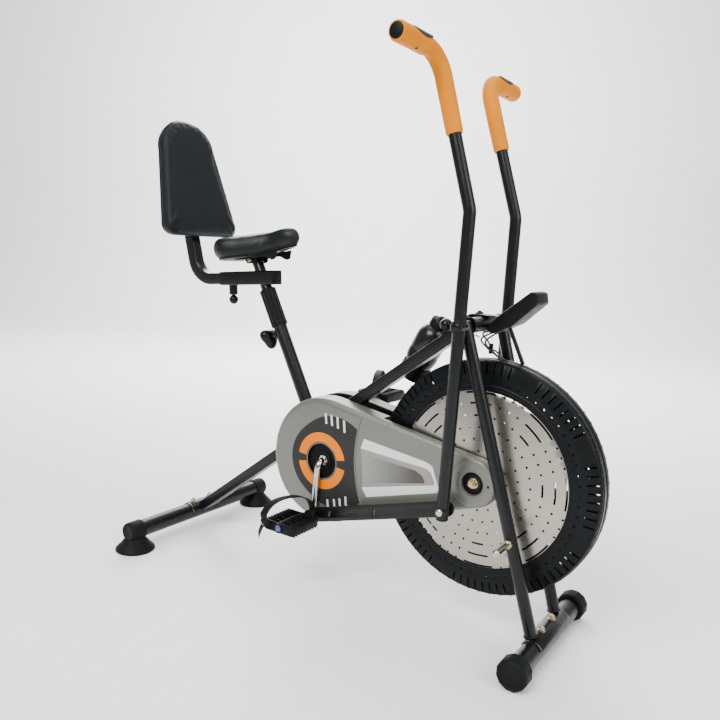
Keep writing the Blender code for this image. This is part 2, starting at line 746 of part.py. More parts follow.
def make_crank():
    """One-piece crank: arm, axle and arm bent from one bar, with a pedal spindle on each end."""
    right, left = crank_pin(-1), crank_pin(1)
    corners = [across(right, -CRANK_Y), across(CRANK_CENTRE, -CRANK_Y)]
    corners += [across(CRANK_CENTRE, CRANK_Y), across(left, CRANK_Y)]
    crank = tube(rounded_path(corners, 0.020, 4), CRANK_ROD, 3)
    for side in SIDES.values():
        pin = crank_pin(side)
        eye = rod(across(pin, side * 0.082), across(pin, side * 0.098), 0.0145)
        collar = rod(across(pin, side * 0.097), across(pin, side * (LINK_INNER - GAP)), 0.0100)
        spindle = rod(across(pin, side * 0.097), across(pin, side * SPINDLE_END), 0.0062, sides=24)
        unite(crank, eye, collar, spindle)
    return part(crank, "crank", CHROME, 0.12, 1.0)


def make_chainwheel():
    wheel = plate(gear_outline(CRANK_CENTRE, CHAINWHEEL_TEETH), CHAIN_Y - 0.0014, CHAIN_Y + 0.0014)
    cut(wheel, rod(across(CRANK_CENTRE, -0.08), across(CRANK_CENTRE, -0.04), CRANK_ROD + 2 * GAP))
    return part(wheel, "chainwheel", BLACK_PAINT, 0.5)


def make_chain():
    """Roller chain as one closed band round both sprockets."""
    big = CHAINWHEEL_TEETH * CHAIN_PITCH / (2 * math.pi) + 0.0022
    small = SPROCKET_TEETH * CHAIN_PITCH / (2 * math.pi) + 0.0022
    chain = plate(
        teardrop(CRANK_CENTRE, big + 0.0055, FAN_CENTRE, small + 0.0055, 20), CHAIN_Y - 0.0035, CHAIN_Y + 0.0035
    )
    cut(chain, plate(teardrop(CRANK_CENTRE, big, FAN_CENTRE, small, 20), CHAIN_Y - 0.02, CHAIN_Y + 0.02))
    part(chain, "chain", (0.12, 0.11, 0.10, 1), 0.4, 1.0)


def make_fan_wheel():
    """Hub, web disc and eight paddles, turning on the fan axle."""
    hub = rod(across(FAN_CENTRE, -0.056), across(FAN_CENTRE, 0.046), 0.017)
    web = rod(across(FAN_CENTRE, -0.0015), across(FAN_CENTRE, 0.0015), 0.120, sides=32)
    unite(hub, web)
    for i in range(8):
        angle = 2 * math.pi * i / 8
        outward = Vector((math.cos(angle), 0, math.sin(angle)))
        paddle = block(FAN_CENTRE + outward * 0.172, (0.184, 0.050, 0.003), angle)
        unite(hub, paddle)
    sprocket = plate(gear_outline(FAN_CENTRE, SPROCKET_TEETH), CHAIN_Y - 0.0014, CHAIN_Y + 0.0014)
    boss = rod(across(FAN_CENTRE, -0.064), across(FAN_CENTRE, -0.055), 0.0165)
    unite(hub, boss, sprocket)
    cut(hub, rod(across(FAN_CENTRE, -0.08), across(FAN_CENTRE, 0.08), 0.0066))
    return part(hub, "fan_wheel", BLACK_PLASTIC, 0.5)


def make_fan_axle():
    axle = rod(across(FAN_CENTRE, -0.088), across(FAN_CENTRE, 0.088), 0.0060, sides=16)
    for side in SIDES.values():
        nut = rod(across(FAN_CENTRE, side * (0.073 + GAP)), across(FAN_CENTRE, side * 0.083), 0.0100, sides=6)
        spacer_from = 0.0653 if side < 0 else 0.0475
        spacer = rod(across(FAN_CENTRE, side * spacer_from), across(FAN_CENTRE, side * (0.068 - GAP)), 0.0095)
        unite(axle, nut, spacer)
    part(axle, "fan_axle", ZINC, 0.3, 1.0)


def make_fan_cover(name, side):
    """Half of the fan cage: a deep rim, a flat black ring and a domed silver disc."""
    wall = 0.0025
    face = [(0.027, 0.0500), (0.120, 0.0455), (FAN_DISC_RADIUS, 0.0385)]
    rim = [(FAN_RADIUS - 0.008, 0.0325), (FAN_RADIUS, 0.0240), (FAN_RADIUS, GAP)]
    outer = face + rim
    inner = [(radius - (wall if height < 0.034 else 0), max(height - wall, GAP)) for radius, height in reversed(face)]
    lip = [(FAN_RADIUS - wall, GAP), (FAN_RADIUS - wall, 0.0229), (FAN_RADIUS - 0.010, 0.0301)]
    cover = turned(outer + lip + inner, FAN_CENTRE, Vector((0, side, 0)), 40)
    part(cover, f"fan_cover_{name}", BLACK_PLASTIC, 0.5)


def make_chain_case(name, side):
    """Moulded teardrop shell, open towards the frame, shallow where it laps the fan cage."""
    case = plate(teardrop(CRANK_CENTRE, CASE_RADIUS, FAN_CENTRE, CASE_NOSE, 32), side * CASE_INNER, side * CASE_OUTER)
    bevel(case, 0.006, 1, 60)
    inside = teardrop(CRANK_CENTRE, CASE_RADIUS - CASE_WALL, FAN_CENTRE, CASE_NOSE - CASE_WALL, 32)
    cut(
        case,
        plate(inside, 0, side * (CASE_OUTER - CASE_WALL)),
        rod(across(FAN_CENTRE, 0), across(FAN_CENTRE, side * 0.0535), FAN_RADIUS + 0.004, sides=48),
        rod(across(CRANK_CENTRE, 0), across(CRANK_CENTRE, side * 0.1), 0.047, sides=32),
        rod(across(FAN_CENTRE, 0), across(FAN_CENTRE, side * 0.1), 0.022, sides=24),
    )
    part(case, f"chain_case_{name}", SILVER_PLASTIC, 0.4)


def make_hub_cover(name, side):
    """Silver disc over the fan axle's end, with a hole that shows the axle nut."""
    profile = [(0.018, 0.0035), (0.0560, 0.0035), (0.0565, 0.0), (0.018, 0.0)]
    cover = turned(profile, across(FAN_CENTRE, side * (CASE_OUTER + GAP)), Vector((0, side, 0)), 36)
    part(cover, f"hub_cover_{name}", SILVER_SHEET, 0.35, 0.3)


def pedal_middle(side):
    return across(crank_pin(side), side * PEDAL_Y)


def make_pedal(name, side):
    """Plastic pedal body on its spindle."""
    pin = crank_pin(side)
    body = bevel(block(pedal_middle(side), PEDAL_SIZE), 0.006)
    cut(body, rod(across(pin, side * 0.1), across(pin, side * 0.25), 0.0066, sides=24))
    return part(body, f"pedal_{name}", BLACK_PLASTIC, 0.55)


def make_pedal_strap(name, side):
    """Moulded strap that arches over the foot from one end of the pedal to the other."""
    middle = pedal_middle(side)
    half_span, rise, thickness = 0.066, 0.046, 0.0027
    spring_line = middle.z + 0.0164
    ends = math.degrees(math.acos((PEDAL_SIZE[1] / 2 + 0.0033) / half_span))
    top = arc(Vector(), 1, -ends, 180 + ends, 20)
    outline = [(half_span * x, spring_line + rise * z) for x, z in top]
    outline += [
        ((half_span - thickness) * x, spring_line + (rise - thickness) * z) for x, z in reversed(top)
    ]
    strap = new_curve(outline, "2D", True)
    strap.data.fill_mode = "BOTH"
    strap.data.extrude = 0.011
    frame = Matrix(((0, 0, 1, 0), (1, 0, 0, 0), (0, 1, 0, 0), (0, 0, 0, 1)))
    strap.matrix_world = Matrix.Translation((middle.x + 0.020, middle.y, 0)) @ frame
    return part(as_mesh(strap), f"pedal_strap_{name}", BLACK_PLASTIC, 0.5)


def make_link_bar(name, side):
    """Flat bar from the crank pin to the arm; the arm end of the linkage is left open."""
    pin, bolt = crank_pin(side), link_bolt(side)
    along = (bolt - pin).normalized()
    above = Vector((-along.z, 0, along.x))
    heading = math.degrees(math.atan2(along.z, along.x))
    outline = arc(pin, 0.013, heading + 90, heading + 270, 12)
    low = pin + along * 0.030 - above * LINK_HALF_HEIGHT
    high = pin + along * 0.030 + above * LINK_HALF_HEIGHT
    outline += [(low.x, low.z)]
    outline += arc(bolt, LINK_HALF_HEIGHT, heading - 90, heading + 90, 12)
    outline += [(high.x, high.z)]
    bar = plate(outline, side * LINK_INNER, side * LINK_OUTER)
    cut(
        bar,
        rod(across(pin, side * 0.09), across(pin, side * 0.13), 0.0066, sides=24),
        rod(across(bolt, side * 0.09), across(bolt, side * 0.13), 0.0070, sides=24),
    )
    return part(bar, f"link_bar_{name}", BLACK_PAINT, 0.45)


# ---------------------------------------------------------------- arms
def arm_path(side):
    """Lower end, knee, grip corner and outer end of one arm's centre line."""
    lower, upper = arm_axes(side)
    pivot = across(ARM_PIVOT, side * ARM_Y)
    foot = pivot - lower * (ARM_BELOW + 0.020)
    knee = pivot + lower * ARM_ABOVE
    corner = knee + upper * ARM_UPPER
    outer = corner + Vector((0, side * GRIP_OUT, 0))
    return foot, knee, corner, outer


def make_arm(name, side):
    foot, knee, corner, outer = arm_path(side)
    arm = tube(rounded_path([foot, knee, corner, outer], ARM_BEND, 6), TUBE_RADIUS, 3)
    bolt = across(link_bolt(side), side * ARM_Y)
    bolt_boss = rod(across(bolt, side * (LINK_OUTER + 0.0006)), across(bolt, side * 0.1465), 0.012)
    pivot_boss = rod(across(ARM_PIVOT, side * 0.1148), across(ARM_PIVOT, side * 0.1465), 0.017)
    unite(arm, bolt_boss, pivot_boss)
    lower, _ = arm_axes(side)
    bore_end = across(ARM_PIVOT, side * ARM_Y) - lower * 0.025
    cut(
        arm,
        rod(foot - lower * 0.01, bolt - lower * 0.013, TUBE_RADIUS - 0.002),
        rod(bolt + lower * 0.013, bore_end, TUBE_RADIUS - 0.002),
        rod(across(bolt, side * 0.08), across(bolt, side * 0.2), 0.0053, sides=24),
        rod(across(ARM_PIVOT, side * 0.08), across(ARM_PIVOT, side * 0.2), 0.0083),
    )
    drain = bolt + lower * 0.05
    cut(arm, rod(across(drain, side * 0.100), across(drain, side * ARM_Y), 0.003, sides=8))
    return part(arm, f"arm_{name}", BLACK_PAINT, 0.45)


def make_arm_bolt(name, side):
    """Bolt through the arm's lower end; it stops short of the link bar."""
    bolt = link_bolt(side)
    shank = rod(across(bolt, side * (LINK_OUTER + 0.001)), across(bolt, side * 0.149), 0.0050, sides=12)
    head = bevel(rod(across(bolt, side * (0.1465 + GAP)), across(bolt, side * 0.152), 0.0085, sides=16), 0.002)
    return part(unite(shank, head), f"arm_bolt_{name}", CHROME, 0.2, 1.0)


def make_grip(name, side):
    """Moulded grip over the arm's upper end, thicker where the hand holds it."""
    _, knee, corner, outer = arm_path(side)
    start = knee + (corner - knee).normalized() * GRIP_START
    inside = outer - Vector((0, side * 0.002, 0))
    path = rounded_path([start, corner, inside], ARM_BEND, 6)
    grip = tube(path, 0.020, 4)
    hand = rod(corner + Vector((0, side * 0.050, 0)), inside, 0.0215)
    unite(grip, hand)
    cut(grip, tube(stretched(path, 0.004), TUBE_RADIUS + 3 * GAP, 4))
    return part(grip, f"grip_{name}", ORANGE, 0.5)


def make_pivot_axle():
    axle = rod(across(ARM_PIVOT, -0.156), across(ARM_PIVOT, 0.156), 0.0080)
    for side in SIDES.values():
        nut = rod(across(ARM_PIVOT, side * 0.1468), across(ARM_PIVOT, side * 0.156), 0.0125, sides=6)
        washer = rod(across(ARM_PIVOT, side * 0.1128), across(ARM_PIVOT, side * 0.1145), 0.0140)
        unite(axle, nut, washer)
    part(axle, "pivot_axle", ZINC, 0.3, 1.0)


# ---------------------------------------------------------------- console and bottle
CONSOLE_FOOT = at(0.197, 0, 0.738)      # rear lower edge of the display
CONSOLE_SLOPE = math.radians(39)


def console_point(along, above):
    turn = Matrix.Rotation(-CONSOLE_SLOPE, 3, "Y")
    return CONSOLE_FOOT + turn @ Vector((along, 0, above))


def bracket_path(drop=0.0):
    """From the beam's top face, level over its end, then up inside the console."""
    down = Vector((0, 0, -drop))
    start = beam_point(ARM_PIVOT.x - 0.090) + BEAM_NORMAL * (BEAM_HEIGHT / 2 + 0.0018)
    level = 0.7655
    rise = start + BEAM_DIRECTION * (level - start.z) / BEAM_DIRECTION.z
    bend = Vector((ARM_PIVOT.x + 0.048, 0, level))
    top = console_point(0.115, -0.014)
    return [point + down for point in rounded_path([start, rise, bend, top], 0.012, 3)]


def make_console():
    shape = [(0.0, 0.0), (0.008, -0.016), (0.060, -0.030), (0.128, -0.022), (0.137, -0.002)]
    shape += [(0.128, 0.006), (0.030, 0.004)]
    outline = []
    for along, above in shape:
        point = console_point(along, above)
        outline.append((point.x, point.z))
    console = bevel(plate(outline, -0.036, 0.036), 0.005)
    cut(console, ribbon(stretched(bracket_path(0.028), 0.022), 0.030, 0.0215))
    part(console, "console", BLACK_PLASTIC, 0.45)


def make_console_bracket():
    """Bent strap that carries the console, with a leg down to the fan cage's rim."""
    bracket = ribbon(bracket_path(), 0.0015, 0.020)
    head = Vector((ARM_PIVOT.x + 0.046, 0.013, 0.766))
    foot = FAN_CENTRE + Vector((0.0625, 0.013, 0.2752))
    strut = tube([head, foot], 0.005, 2)
    clear = rod(across(FAN_CENTRE, -0.05), across(FAN_CENTRE, 0.05), FAN_RADIUS + 0.0006, sides=64)
    unite(bracket, strut)
    cut(bracket, clear)
    part(bracket, "console_bracket", BLACK_PAINT, 0.45)


BOTTLE_FOOT = at(0.4375, 0.062, 0.585)
BOTTLE_LEAN = math.radians(28)
BOTTLE_UP = Vector((math.sin(BOTTLE_LEAN), 0, math.cos(BOTTLE_LEAN)))


def make_bottle():
    profile = [(0.0, 0.178), (0.021, 0.178), (0.023, 0.174), (0.023, 0.150), (0.021, 0.148)]
    profile += [(0.030, 0.140), (0.036, 0.124), (0.036, 0.006), (0.033, 0.0), (0.0, 0.0)]
    bottle = turned(profile, BOTTLE_FOOT, BOTTLE_UP, 24)
    part(bottle, "bottle", BLACK_PLASTIC, 0.3)


def make_bottle_cage():
    """Ring and arm on the beam's left side that hold the bottle."""
    profile = [(0.0, -0.0006), (0.0363, -0.0006), (0.0363, 0.034), (0.0385, 0.034)]
    profile += [(0.0385, -0.004), (0.0, -0.004)]
    cage = turned(profile, BOTTLE_FOOT, BOTTLE_UP, 24)
    part(cage, "bottle_cage", BLACK_PLASTIC, 0.5)


def make_pivot_knob():
    """Ball-headed pull knob on the back of the pivot housing."""
    foot = across(ARM_PIVOT, -0.070) + Vector((-0.0184, 0, 0))
    tip = foot + Vector((-0.045, 0, -0.005))
    knob = rod(foot, tip, 0.006, sides=16)
    unite(knob, ball(tip, 0.015))
    part(knob, "pivot_knob", BLACK_PLASTIC, 0.35)


# ---------------------------------------------------------------- assembly
make_main_beam()
make_drive_hanger()
make_pivot_housing()
make_seat_tube()
make_stabiliser("front_stabiliser", FRONT_FOOT, FRONT_HALF, 0.014)
make_stabiliser("rear_stabiliser", REAR_FOOT, REAR_HALF, 0.014)
make_front_saddle()
make_post_sleeve()
make_chain()
make_fan_axle()
make_pivot_axle()
make_pivot_knob()
make_console()
make_console_bracket()
make_bottle()
make_bottle_cage()
for side_name, side_sign in SIDES.items():
    make_fan_stay(side_name, side_sign)
    make_leg(side_name, side_sign)
    make_front_cap(side_name, side_sign)
    make_rear_foot(side_name, side_sign)
    make_foot_bolt(f"front_bolt_{side_name}", FRONT_FOOT, side_sign)
    make_foot_peg(side_name, side_sign)
    make_fan_cover(side_name, side_sign)
    make_chain_case(side_name, side_sign)
    make_hub_cover(side_name, side_sign)
    joint(f"pedal_axis_{side_name}", across(crank_pin(side_sign), side_sign * CRANK_Y), [
        make_pedal(side_name, side_sign),
        make_pedal_strap(side_name, side_sign),
    ])
    joint(f"link_axis_{side_name}", across(crank_pin(side_sign), side_sign * LINK_INNER), [
        make_link_bar(side_name, side_sign),
    ])
    joint(f"arm_axis_{side_name}", across(ARM_PIVOT, side_sign * ARM_Y), [
        make_arm(side_name, side_sign),
        make_arm_bolt(side_name, side_sign),
        make_grip(side_name, side_sign),
    ])

joint("crank_axis", CRANK_CENTRE, [make_crank(), make_chainwheel()])
joint("fan_axis", FAN_CENTRE, [make_fan_wheel()])
joint("seat_slide", SEAT_TUBE_FOOT, [
    make_seat_post(),
    make_seat_carrier(),
    make_carrier_cap(),
    make_saddle_clamp(),
])
joint("height_knob_slide", SEAT_TUBE_FOOT + SEAT_DIRECTION * KNOB_ON_SEAT_TUBE, [make_height_knob()])
joint("back_slide", carrier_point(-0.155), [make_back_tube(), make_back_board(), make_back_pad()])
joint("back_plunger_slide", carrier_point(-0.120, -0.048), [make_back_plunger()])
joint("saddle_tilt", SADDLE_PIVOT, [make_saddle_tray(), make_saddle_cushion()])
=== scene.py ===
import json
from math import acos, atan2, cos, degrees, exp, hypot, log, pi, radians, sin, sqrt, tan

import bmesh
import bpy
from mathutils import Matrix, Vector
from mathutils.geometry import delaunay_2d_cdt


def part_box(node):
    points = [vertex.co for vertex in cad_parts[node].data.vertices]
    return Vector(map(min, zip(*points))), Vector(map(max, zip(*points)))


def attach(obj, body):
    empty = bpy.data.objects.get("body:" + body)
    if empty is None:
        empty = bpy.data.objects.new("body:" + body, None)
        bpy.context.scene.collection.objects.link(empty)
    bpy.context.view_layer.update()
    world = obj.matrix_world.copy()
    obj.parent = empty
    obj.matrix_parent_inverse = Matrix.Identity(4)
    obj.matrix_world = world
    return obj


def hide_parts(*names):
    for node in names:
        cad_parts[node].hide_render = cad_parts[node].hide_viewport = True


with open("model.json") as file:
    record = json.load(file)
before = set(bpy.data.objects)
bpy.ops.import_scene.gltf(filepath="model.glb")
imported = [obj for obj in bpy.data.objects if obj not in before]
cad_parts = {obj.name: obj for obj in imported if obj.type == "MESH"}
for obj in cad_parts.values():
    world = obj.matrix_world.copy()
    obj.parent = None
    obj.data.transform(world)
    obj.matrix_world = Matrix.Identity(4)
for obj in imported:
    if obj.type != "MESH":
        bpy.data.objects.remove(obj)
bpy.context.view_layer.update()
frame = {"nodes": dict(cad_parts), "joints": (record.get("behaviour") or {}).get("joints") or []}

# ---------------------------------------------------------------- places taken from the frame
SIDES = {"right": -1, "left": 1}
JOINTS = {joint["name"]: joint for joint in frame["joints"]}
Y_AXIS = Vector((0, 1, 0))
Z_AXIS = Vector((0, 0, 1))


def place(joint):
    return Vector(JOINTS[joint]["pos_m"])


def direction(joint):
    return Vector(JOINTS[joint]["axis"]).normalized()


def middle(node):
    low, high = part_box(node)
    return (Vector(low) + Vector(high)) / 2


def across(point, y):
    return Vector((point.x, y, point.z))


CRANK = place("crank_spin")
FAN = place("fan_spin")
PIVOT = place("arm_right_swing")
PIN = {side: place(f"link_{side}_turn") for side in SIDES}
BOLT = {side: across(middle(f"arm_bolt_{side}"), 0) for side in SIDES}
SEAT_UP = direction("seat_height")
SEAT_FOOT = CRANK + Vector((-0.082, 0, 0.0565))
KNOB_FOOT = SEAT_FOOT + SEAT_UP * 0.294
CARRIER = SEAT_FOOT + SEAT_UP * 0.460
CARRIER_AHEAD = direction("back_reach")
CARRIER_ABOVE = -direction("back_pin_pull")
KNOB_OUT = direction("height_pin_pull")
SADDLE_PIVOT = place("saddle_tilt")
FRONT_FOOT = middle("front_stabiliser")
REAR_FOOT = middle("rear_stabiliser")
BEAM_SLOPE = radians(37.2)
BEAM_AHEAD = Vector((cos(BEAM_SLOPE), 0, sin(BEAM_SLOPE)))
BEAM_ABOVE = Vector((-sin(BEAM_SLOPE), 0, cos(BEAM_SLOPE)))
BEAM_AXES = (BEAM_AHEAD, Y_AXIS, BEAM_ABOVE)
TUBE_RADIUS = 0.0145
ARM_Y = 0.130
FOOT_BOLT_Y = 0.034


# ---------------------------------------------------------------- camera, floor and light
def make_camera():
    """Where the photograph was taken from, and the way it looked."""
    yaw, pitch, roll = 0.5978, 0.1575, 0.0494
    forward = Vector((-sin(yaw) * cos(pitch), cos(yaw) * cos(pitch), -sin(pitch)))
    level = Vector((cos(yaw), sin(yaw), 0))
    upright = level.cross(forward)
    right = level * cos(roll) + upright * sin(roll)
    above = upright * cos(roll) - level * sin(roll)
    data = bpy.data.cameras.new("camera")
    data.sensor_width = 36
    data.lens = 35.594
    data.clip_end = 60
    camera = bpy.data.objects.new("camera", data)
    bpy.context.scene.collection.objects.link(camera)
    matrix = Matrix((right, above, -forward)).transposed().to_4x4()
    matrix.translation = (1.07265, -1.53526, 0.90813)
    camera.matrix_world = matrix
    bpy.context.scene.camera = camera


def make_light(name, location, target, size, power, colour):
    data = bpy.data.lights.new(name, "AREA")
    data.shape = "RECTANGLE"
    data.size, data.size_y = size
    data.energy = power
    data.color = colour
    light = bpy.data.objects.new(name, data)
    light.location = location
    light.rotation_euler = (Vector(target) - Vector(location)).to_track_quat("-Z", "Y").to_euler()
    bpy.context.scene.collection.objects.link(light)


def make_studio():
    make_light("key", (0.2, -3.4, 3.6), (0, 0, 0.5), (2.6, 2.0), 260, (1, 0.985, 0.96))
    make_light("front", (3.6, -0.4, 2.2), (0, 0, 0.6), (2.0, 2.0), 90, (1, 0.96, 0.91))
    make_light("back", (-2.8, 2.6, 3.0), (0, 0, 0.6), (2.4, 2.0), 150, (0.95, 0.98, 1))
    make_light("overhead", (0.2, 0.6, 4.2), (0.2, 0.6, 0), (3.5, 3.5), 110, (1, 1, 1))
    make_light("backdrop", (-1.5, 2.2, 4.0), (-3.2, 6.5, 1.2), (4.0, 1.5), 760, (1, 1, 1))
    world = bpy.data.worlds.new("studio")
    bpy.context.scene.world = world
    world.use_nodes = True
    background = world.node_tree.nodes["Background"]
    background.inputs["Color"].default_value = (0.96, 0.97, 1.0, 1)
    background.inputs["Strength"].default_value = 0.55


# ---------------------------------------------------------------- materials
MATERIALS = {}


class Shader:
    """A Principled material whose nodes are added by name, with the object's metres as coordinates."""

    def __init__(self, name, slot, colour, roughness, metallic=0.0, specular=0.5):
        self.material = bpy.data.materials.new(name)
        self.material.use_nodes = True
        self.nodes = self.material.node_tree.nodes
        self.links = self.material.node_tree.links
        self.principled = self.nodes["Principled BSDF"]
        self.principled.inputs["Base Color"].default_value = (*colour, 1)
        self.principled.inputs["Roughness"].default_value = roughness
        self.principled.inputs["Metallic"].default_value = metallic
        self.principled.inputs["Specular IOR Level"].default_value = specular
        self.colour, self.roughness = colour, roughness
        self.place = self.nodes.new("ShaderNodeTexCoord").outputs["Object"]
        MATERIALS[name] = (self.material, slot)

    def node(self, kind, inputs=(), **settings):
        made = self.nodes.new(f"ShaderNode{kind}")
        for key, value in settings.items():
            setattr(made, key, value)
        for key, value in dict(inputs).items():
            if hasattr(value, "is_output"):
                self.links.new(value, made.inputs[key])
            else:
                made.inputs[key].default_value = value
        return made

    def noise(self, scale, detail=2.0, roughness=0.5, stretch=None):
        where = self.place
        if stretch:
            where = self.node("Mapping", {"Vector": where, "Scale": stretch}).outputs["Vector"]
        made = self.node("TexNoise", {
            "Vector": where, "Scale": scale, "Detail": detail, "Roughness": roughness,
        })
        return made.outputs["Fac"]

    def span(self, value, low, high, to_low, to_high):
        made = self.node("MapRange", {
            "Value": value, "From Min": low, "From Max": high, "To Min": to_low, "To Max": to_high,
        })
        return made.outputs["Result"]

    def blend_colour(self, factor, first, second):
        made = self.node("Mix", data_type="RGBA")
        self.links.new(factor, made.inputs[0])
        for socket, value in ((made.inputs[6], first), (made.inputs[7], second)):
            if hasattr(value, "is_output"):
                self.links.new(value, socket)
            else:
                socket.default_value = (*value, 1)
        return made.outputs[2]

    def paint(self, colour):
        self.links.new(colour, self.principled.inputs["Base Color"])

    def mottle(self, scale, amount):
        """Slow uneven shading of the base colour."""
        light = tuple(min(1, channel * (1 + amount)) for channel in self.colour)
        dark = tuple(channel * (1 - amount) for channel in self.colour)
        factor = self.span(self.noise(scale, 3), 0.3, 0.7, 0, 1)
        self.paint(self.blend_colour(factor, dark, light))

    def gloss(self, scale, amount, stretch=None):
        """Uneven roughness, as handling and moulding leave it."""
        value = self.span(
            self.noise(scale, 3, stretch=stretch), 0.3, 0.7, self.roughness - amount, self.roughness + amount
        )
        self.links.new(value, self.principled.inputs["Roughness"])

    def bump(self, height, depth, strength=1.0):
        inputs = {"Height": height, "Distance": depth, "Strength": strength}
        normal = self.principled.inputs["Normal"]
        if normal.is_linked:
            inputs["Normal"] = normal.links[0].from_socket
        made = self.node("Bump", inputs)
        self.links.new(made.outputs["Normal"], normal)


# Each finish: slot, colour, roughness, metallic, specular level, then mottle (scale, amount),
# gloss (scale, amount, stretch) and bump (scale, detail, noise roughness, depth, strength).
FINISHES = {
    "powder_coat": ("black_paint", (0.0024, 0.0032, 0.0037), 0.24, 0, 0.27,
                    (14, 0.18), (30, 0.05), (620, 2, 0.6, 0.0006, 0.6)),
    "satin_paint": ("black_paint", (0.0028, 0.0036, 0.0041), 0.24, 0, 0.38,
                    (20, 0.2), (60, 0.05, (1, 1, 0.2)), (260, 2, 0.5, 0.0002, 0.25)),
    "moulded_black": ("black_plastic", (0.0032, 0.0038, 0.0042), 0.46, 0, 0.12,
                      (25, 0.2), (50, 0.07), (1600, 2, 0.6, 0.00018, 0.5)),
    "cage_black": ("black_plastic", (0.0026, 0.0036, 0.0042), 0.38, 0, 0.13,
                   (9, 0.25), (18, 0.08), (1200, 2, 0.6, 0.0002, 0.5)),
    "gloss_black": ("black_plastic", (0.0024, 0.0028, 0.0032), 0.24, 0, 0.2,
                    (30, 0.2), (70, 0.05), (90, 2, 0.5, 0.0002, 0.15)),
    "rubber": ("rubber", (0.0042, 0.0048, 0.0050), 0.60, 0, 0.12,
               (18, 0.3), (35, 0.08), (900, 4, 0.7, 0.0003, 0.6)),
    "lining": ("black_plastic", (0.0040, 0.0042, 0.0045), 0.55, 0, 0.12,
               (40, 0.3), (40, 0.05), (1400, 3, 0.8, 0.0006, 0.7)),
    "wire_black": ("black_plastic", (0.012, 0.012, 0.013), 0.40, 0, 0.5,
                   (90, 0.2), (60, 0.06), (700, 2, 0.5, 0.0002, 0.4)),
    "grip_pad": ("black_plastic", (0.006, 0.008, 0.013), 0.40, 0, 0.14,
                 (80, 0.2), (60, 0.05), (900, 2, 0.5, 0.0002, 0.3)),
    "thread": ("vinyl", (0.006, 0.008, 0.010), 0.62, 0, 0.3,
               (300, 0.2), (200, 0.08), (2600, 2, 0.5, 0.0002, 0.6)),
    "chrome": ("chrome", (0.50, 0.50, 0.49), 0.09, 1, 0.5,
               (40, 0.05), (55, 0.05), (120, 3, 0.5, 0.0002, 0.12)),
    "chain_steel": ("chain_steel", (0.16, 0.15, 0.14), 0.38, 1, 0.5,
                    (120, 0.3), (90, 0.1), (800, 3, 0.5, 0.0002, 0.4)),
    "print_grey": ("silver_plastic", (0.022, 0.022, 0.021), 0.38, 0, 0.15,
                   (14, 0.08), (30, 0.05), (1800, 2, 0.5, 0.00008, 0.35)),
    "print_orange": ("orange_foam", (0.74, 0.185, 0.0), 0.42, 0, 0.08,
                     (30, 0.06), (30, 0.05), (1800, 2, 0.5, 0.00008, 0.35)),
    "print_white": ("silver_plastic", (0.66, 0.69, 0.69), 0.33, 0, 0.5,
                    (16, 0.03), (30, 0.04), (1800, 2, 0.5, 0.00008, 0.3)),
    "print_taupe": ("silver_plastic", (0.26, 0.228, 0.215), 0.42, 0.2, 0.5,
                    (20, 0.04), (30, 0.04), (1500, 2, 0.5, 0.0001, 0.35)),
    "orange_grip": ("orange_foam", (0.60, 0.188, 0.0), 0.48, 0, 0.06,
                    (22, 0.06), (40, 0.06), (1300, 3, 0.65, 0.0003, 0.45)),
    "cap_blue": ("black_plastic", (0.05, 0.08, 0.33), 0.28, 0, 0.5,
                 (200, 0.3), (60, 0.06), (300, 2, 0.5, 0.0002, 0.3)),
    "accent_red": ("black_plastic", (0.16, 0.010, 0.010), 0.35, 0, 0.5,
                   (200, 0.1), (80, 0.05), (600, 2, 0.5, 0.0001, 0.3)),
    "floor": ("black_plastic", (0.90, 0.90, 0.895), 0.60, 0, 0.5,
              (3, 0.01), (5, 0.05), (300, 2, 0.5, 0.0002, 0.1)),
}


def finish(name, slot, colour, roughness, metallic, specular, mottle, gloss, bump=None):
    shader = Shader(name, slot, colour, roughness, metallic, specular)
    shader.mottle(*mottle)
    shader.gloss(*gloss)
    if bump:
        scale, detail, fineness, depth, strength = bump
        shader.bump(shader.noise(scale, detail, fineness), depth, strength)
    return shader


def make_finishes():
    for name, settings in FINISHES.items():
        finish(name, *settings)
    screen = finish(
        "screen_grey", "black_plastic", (0.13, 0.16, 0.13), 0.12, 0, 0.5,
        (60, 0.06), (40, 0.03), (50, 2, 0.5, 0.0001, 0.1),
    )
    screen.principled.inputs["Coat Weight"].default_value = 0.5


def make_metals():
    case = finish(
        "case_silver", "silver_plastic", (0.150, 0.152, 0.137), 0.32, 0.45, 0.5,
        (6, 0.06), (12, 0.05),
    )
    flakes = case.span(case.noise(2600, 1), 0.45, 0.75, 0, 1)
    case.bump(flakes, 0.00008, 0.35)

    sheet = finish(
        "sheet_silver", "silver_sheet", (0.36, 0.342, 0.305), 0.28, 0.92, 0.5,
        (5, 0.05), (9, 0.05), (420, 2, 0.5, 0.00006, 0.2),
    )
    sheet.bump(sheet.noise(7, 1), 0.004, 0.15)

    zinc = Shader("yellow_zinc", "zinc", (0.62, 0.53, 0.34), 0.26, 1)
    factor = zinc.span(zinc.noise(160, 2), 0.38, 0.62, 0, 1)
    zinc.paint(zinc.blend_colour(factor, (0.50, 0.38, 0.17), (0.42, 0.39, 0.30)))
    zinc.gloss(90, 0.08)
    zinc.bump(zinc.noise(900, 2), 0.0001, 0.3)

    bare = Shader("bare_metal", "black_paint", (0.50, 0.50, 0.49), 0.25, 1)
    scratches = bare.noise(140, 4, 0.7, (0.15, 1, 1))
    factor = bare.span(scratches, 0.42, 0.58, 0, 1)
    bare.paint(bare.blend_colour(factor, (0.05, 0.05, 0.05), (0.6, 0.6, 0.59)))
    bare.gloss(200, 0.1)
    bare.bump(scratches, 0.0003, 0.4)


